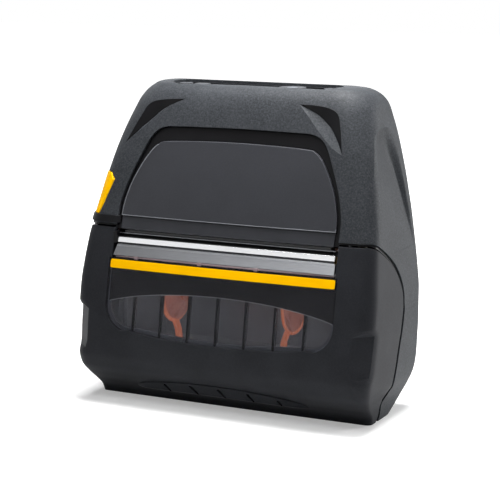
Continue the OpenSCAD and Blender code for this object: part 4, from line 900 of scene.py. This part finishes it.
def support(side):
    """Media support, seen as the right one: a flared dish with a rim on a leaning stem, shoe and rack."""
    y = HUB_Y - 4.6 * side
    ob = turned_form((27.8, 4.2), (28.2, 5.2), (31.3, 14.2), (31.6, 14.8), (31.9, 15), (32.5, 15),
                     (32.8, 14.7))
    cut(ob, turned_form((28.9, 4.4), (32.0, 13.3), (32.3, 13.8), (33.2, 14)))
    stem = stack([[(x0, y - 1.7, z), (x1, y - 1.7, z), (x1, y + 1.7, z), (x0, y + 1.7, z)]
                  for z, x0, x1 in ((16, 26.4, 28.2), (36, 27.6, 29.6), (41.5, 29.6, 31.7))])
    join(ob, rod("x", 26.5, 30.1, HUB_Y, HUB_Z, 4), stem, box(24.8, 31.8, -19.2, -0.8, 15.7, 20.65))
    cut(ob, rod("x", 24, 34, HUB_Y, HUB_Z, 2.2))
    x0, x1, rear, root, tip = RACK_FROM * RACK_PITCH, RACK_TO * RACK_PITCH, -0.8, -2.64, -4.28
    teeth = [((k + 0.5) * RACK_PITCH + dx, y) for k in range(RACK_FROM, RACK_TO)
             for dx, y in ((-0.918, root), (-0.321, tip), (0.321, tip), (0.918, root))]
    rack = prism("z", 12.35, 15.35, [(x0, rear), (x0, root)] + teeth + [(x1, root), (x1, rear)])
    return join(ob, rack, box(26.3, 30.3, -2.2, -0.8, 13.35, 16.35))


piece(support(1), "support_dish_right", "support_right", SUPPORT, "support_right", slot="orange_plastic")
left = support(-1)
set_points(left, points_of(left) * (-1, -1, 1) + (0, 2 * HUB_Y, 0))
piece(left, "support_dish_left", "support_left", SUPPORT, "support_left", slot="orange_plastic")

button = loft(89.5, 113, -0.3, 0.6)
cut(button, loft(88.5, 114, 2.2, 0.6))
piece(keep(button, button_path(0, -FAR, -50)), "latch_cap", "latch_button", YELLOW, "latch_button")


# ---------------------------------------------------------------- CAD nodes that keep their shape
LOOKS = {
    "top_panel": TOP_M, "display_lens": DISPLAY, "display_module": CHIP, "key_board": BOARD,
    "power_key": KEYS, "menu_key": KEYS, "nav_ring": KEYS, "select_key": SELECT, "feed_key": KEYS,
    "chassis": STEEL, "head_beam": STEEL, "printhead": HEAD, "head_heatsink": SINK, "head_bracket": STEEL,
    "head_springs": POLISHED, "media_sensor": CHIP, "cover_liner": LINER,
    "rack_tray": INNER, "support_pinion": GEAR,
    "platen_bracket": BLACK_STEEL, "platen_bushes": BRASS, "platen_shaft": POLISHED,
    "platen_rubber": RUBBER, "platen_gear": GEAR,
    "step_motor": MOTOR, "motor_pinion": BRASS, "idler_gear": GEAR, "idler_pin": POLISHED,
    "latch_bar": STEEL, "latch_spring": POLISHED, "hinge_pin": POLISHED, "hinge_spring": POLISHED,
    "main_board": BOARD, "board_parts": CHIP, "io_board": BOARD, "io_connectors": STEEL, "port_cover": SOFT,
    "battery_tray": INNER, "battery_pack": BATTERY, "battery_latch": CATCH, "battery_contacts": GOLD,
    "dock_block": CHIP, "dock_contacts": GOLD, "case_screws": BLACK_STEEL, "clip_inserts": BRASS}
for name, look_of in LOOKS.items():
    ob = nodes[name]
    ob.data.materials.clear()
    ob.data.materials.append(look_of)

# ---------------------------------------------------------------- camera, light, floor
# The camera was fitted to the photo's outlines; its focal length is in pixels of a 500 pixel picture
AZ, EL = math.radians(26.5), math.radians(10.558)
FOCAL_PIXELS, PICTURE_PIXELS, SENSOR = 1690.0, 500.0, 36.0
cam_data = bpy.data.cameras.new("camera")
cam_data.sensor_width = SENSOR
cam_data.lens = FOCAL_PIXELS / PICTURE_PIXELS * SENSOR
cam_data.clip_start = 0.05
cam = bpy.data.objects.new("camera", cam_data)
scene.collection.objects.link(cam)
cam.location = (0.36335, -0.72228, 0.2263)
look = Vector((-math.sin(AZ) * math.cos(EL), math.cos(AZ) * math.cos(EL), -math.sin(EL)))
cam.rotation_euler = look.to_track_quat("-Z", "Y").to_euler()
scene.camera = cam
scene.view_settings.view_transform = "Standard"


def background_seen(nt):
    """1 for the rays that see the white background: from the camera, by gloss and through glass."""
    path = nt.nodes.new("ShaderNodeLightPath").outputs
    return calc(nt, "MAXIMUM", path["Is Camera Ray"],
                calc(nt, "MAXIMUM", path["Is Glossy Ray"], path["Is Transmission Ray"]))


world = bpy.data.worlds.new("world")
scene.world = world
world.use_nodes = True
wn = world.node_tree
wn.nodes.clear()
w_out = wn.nodes.new("ShaderNodeOutputWorld")
w_mix = wn.nodes.new("ShaderNodeMixShader")
# Weak light from all round, and the white that the camera sees
for socket, strength in ((1, 0.06), (2, 1.0)):
    white = add(wn, "Background", Color=(1, 1, 1, 1), Strength=strength)
    wn.links.new(white, w_mix.inputs[socket])
wn.links.new(background_seen(wn), w_mix.inputs["Fac"])
wn.links.new(w_mix.outputs[0], w_out.inputs["Surface"])


MIDDLE = Vector((0, 0, 0.08))


def area_light(name, where, size, power):
    """Rectangular light that looks at the middle of the object."""
    data = bpy.data.lights.new(name, "AREA")
    data.shape = "RECTANGLE"
    data.size, data.size_y = size
    data.energy = power
    ob = bpy.data.objects.new(name, data)
    ob.location = where
    ob.rotation_euler = (MIDDLE - Vector(where)).to_track_quat("-Z", "Y").to_euler()
    scene.collection.objects.link(ob)
    return ob


area_light("near", (0.04, 0.05, 0.36), (0.2, 0.12), 1.2)
area_light("over", (0.0, -0.035, 0.28), (0.16, 0.06), 0.45).visible_camera = False
area_light("top", (0.0, 0.22, 1.1), (0.5, 0.3), 14)
area_light("front", (0.0, -0.5, 1.0), (0.3, 0.3), 3)
area_light("right", (0.75, 0.75, 0.3), (0.4, 0.6), 9.5)

# Floor: as white as the background far away, less so near the object, where its shadow falls
floor_mesh = bpy.data.meshes.new("floor")
bm = bmesh.new()
bmesh.ops.create_grid(bm, x_segments=2, y_segments=2, size=3.0)
bm.to_mesh(floor_mesh)
bm.free()
floor = bpy.data.objects.new("floor", floor_mesh)
floor.location = (0, 0, -0.0004)
scene.collection.objects.link(floor)
fm = bpy.data.materials.new("floor")
fm.use_nodes = True
fn = fm.node_tree
fn.nodes.clear()
f_out = fn.nodes.new("ShaderNodeOutputMaterial")
f_add = fn.nodes.new("ShaderNodeAddShader")
f_dif = fn.nodes.new("ShaderNodeBsdfDiffuse")
f_dif.inputs["Color"].default_value = (0.8, 0.8, 0.8, 1)
f_emi = fn.nodes.new("ShaderNodeEmission")
seen = background_seen(fn)
f_co = fn.nodes.new("ShaderNodeTexCoord").outputs["Object"]
away = add(fn, "VectorMath", "Value", {"operation": "LENGTH"}, i0=f_co)
glow = span(fn, away, 0.12, 0.6, 0.35, 1.0)
fn.links.new(calc(fn, "MULTIPLY", seen, glow), f_emi.inputs["Strength"])
fn.links.new(f_dif.outputs[0], f_add.inputs[0])
fn.links.new(f_emi.outputs[0], f_add.inputs[1])
fn.links.new(f_add.outputs[0], f_out.inputs["Surface"])
floor_mesh.materials.append(fm)
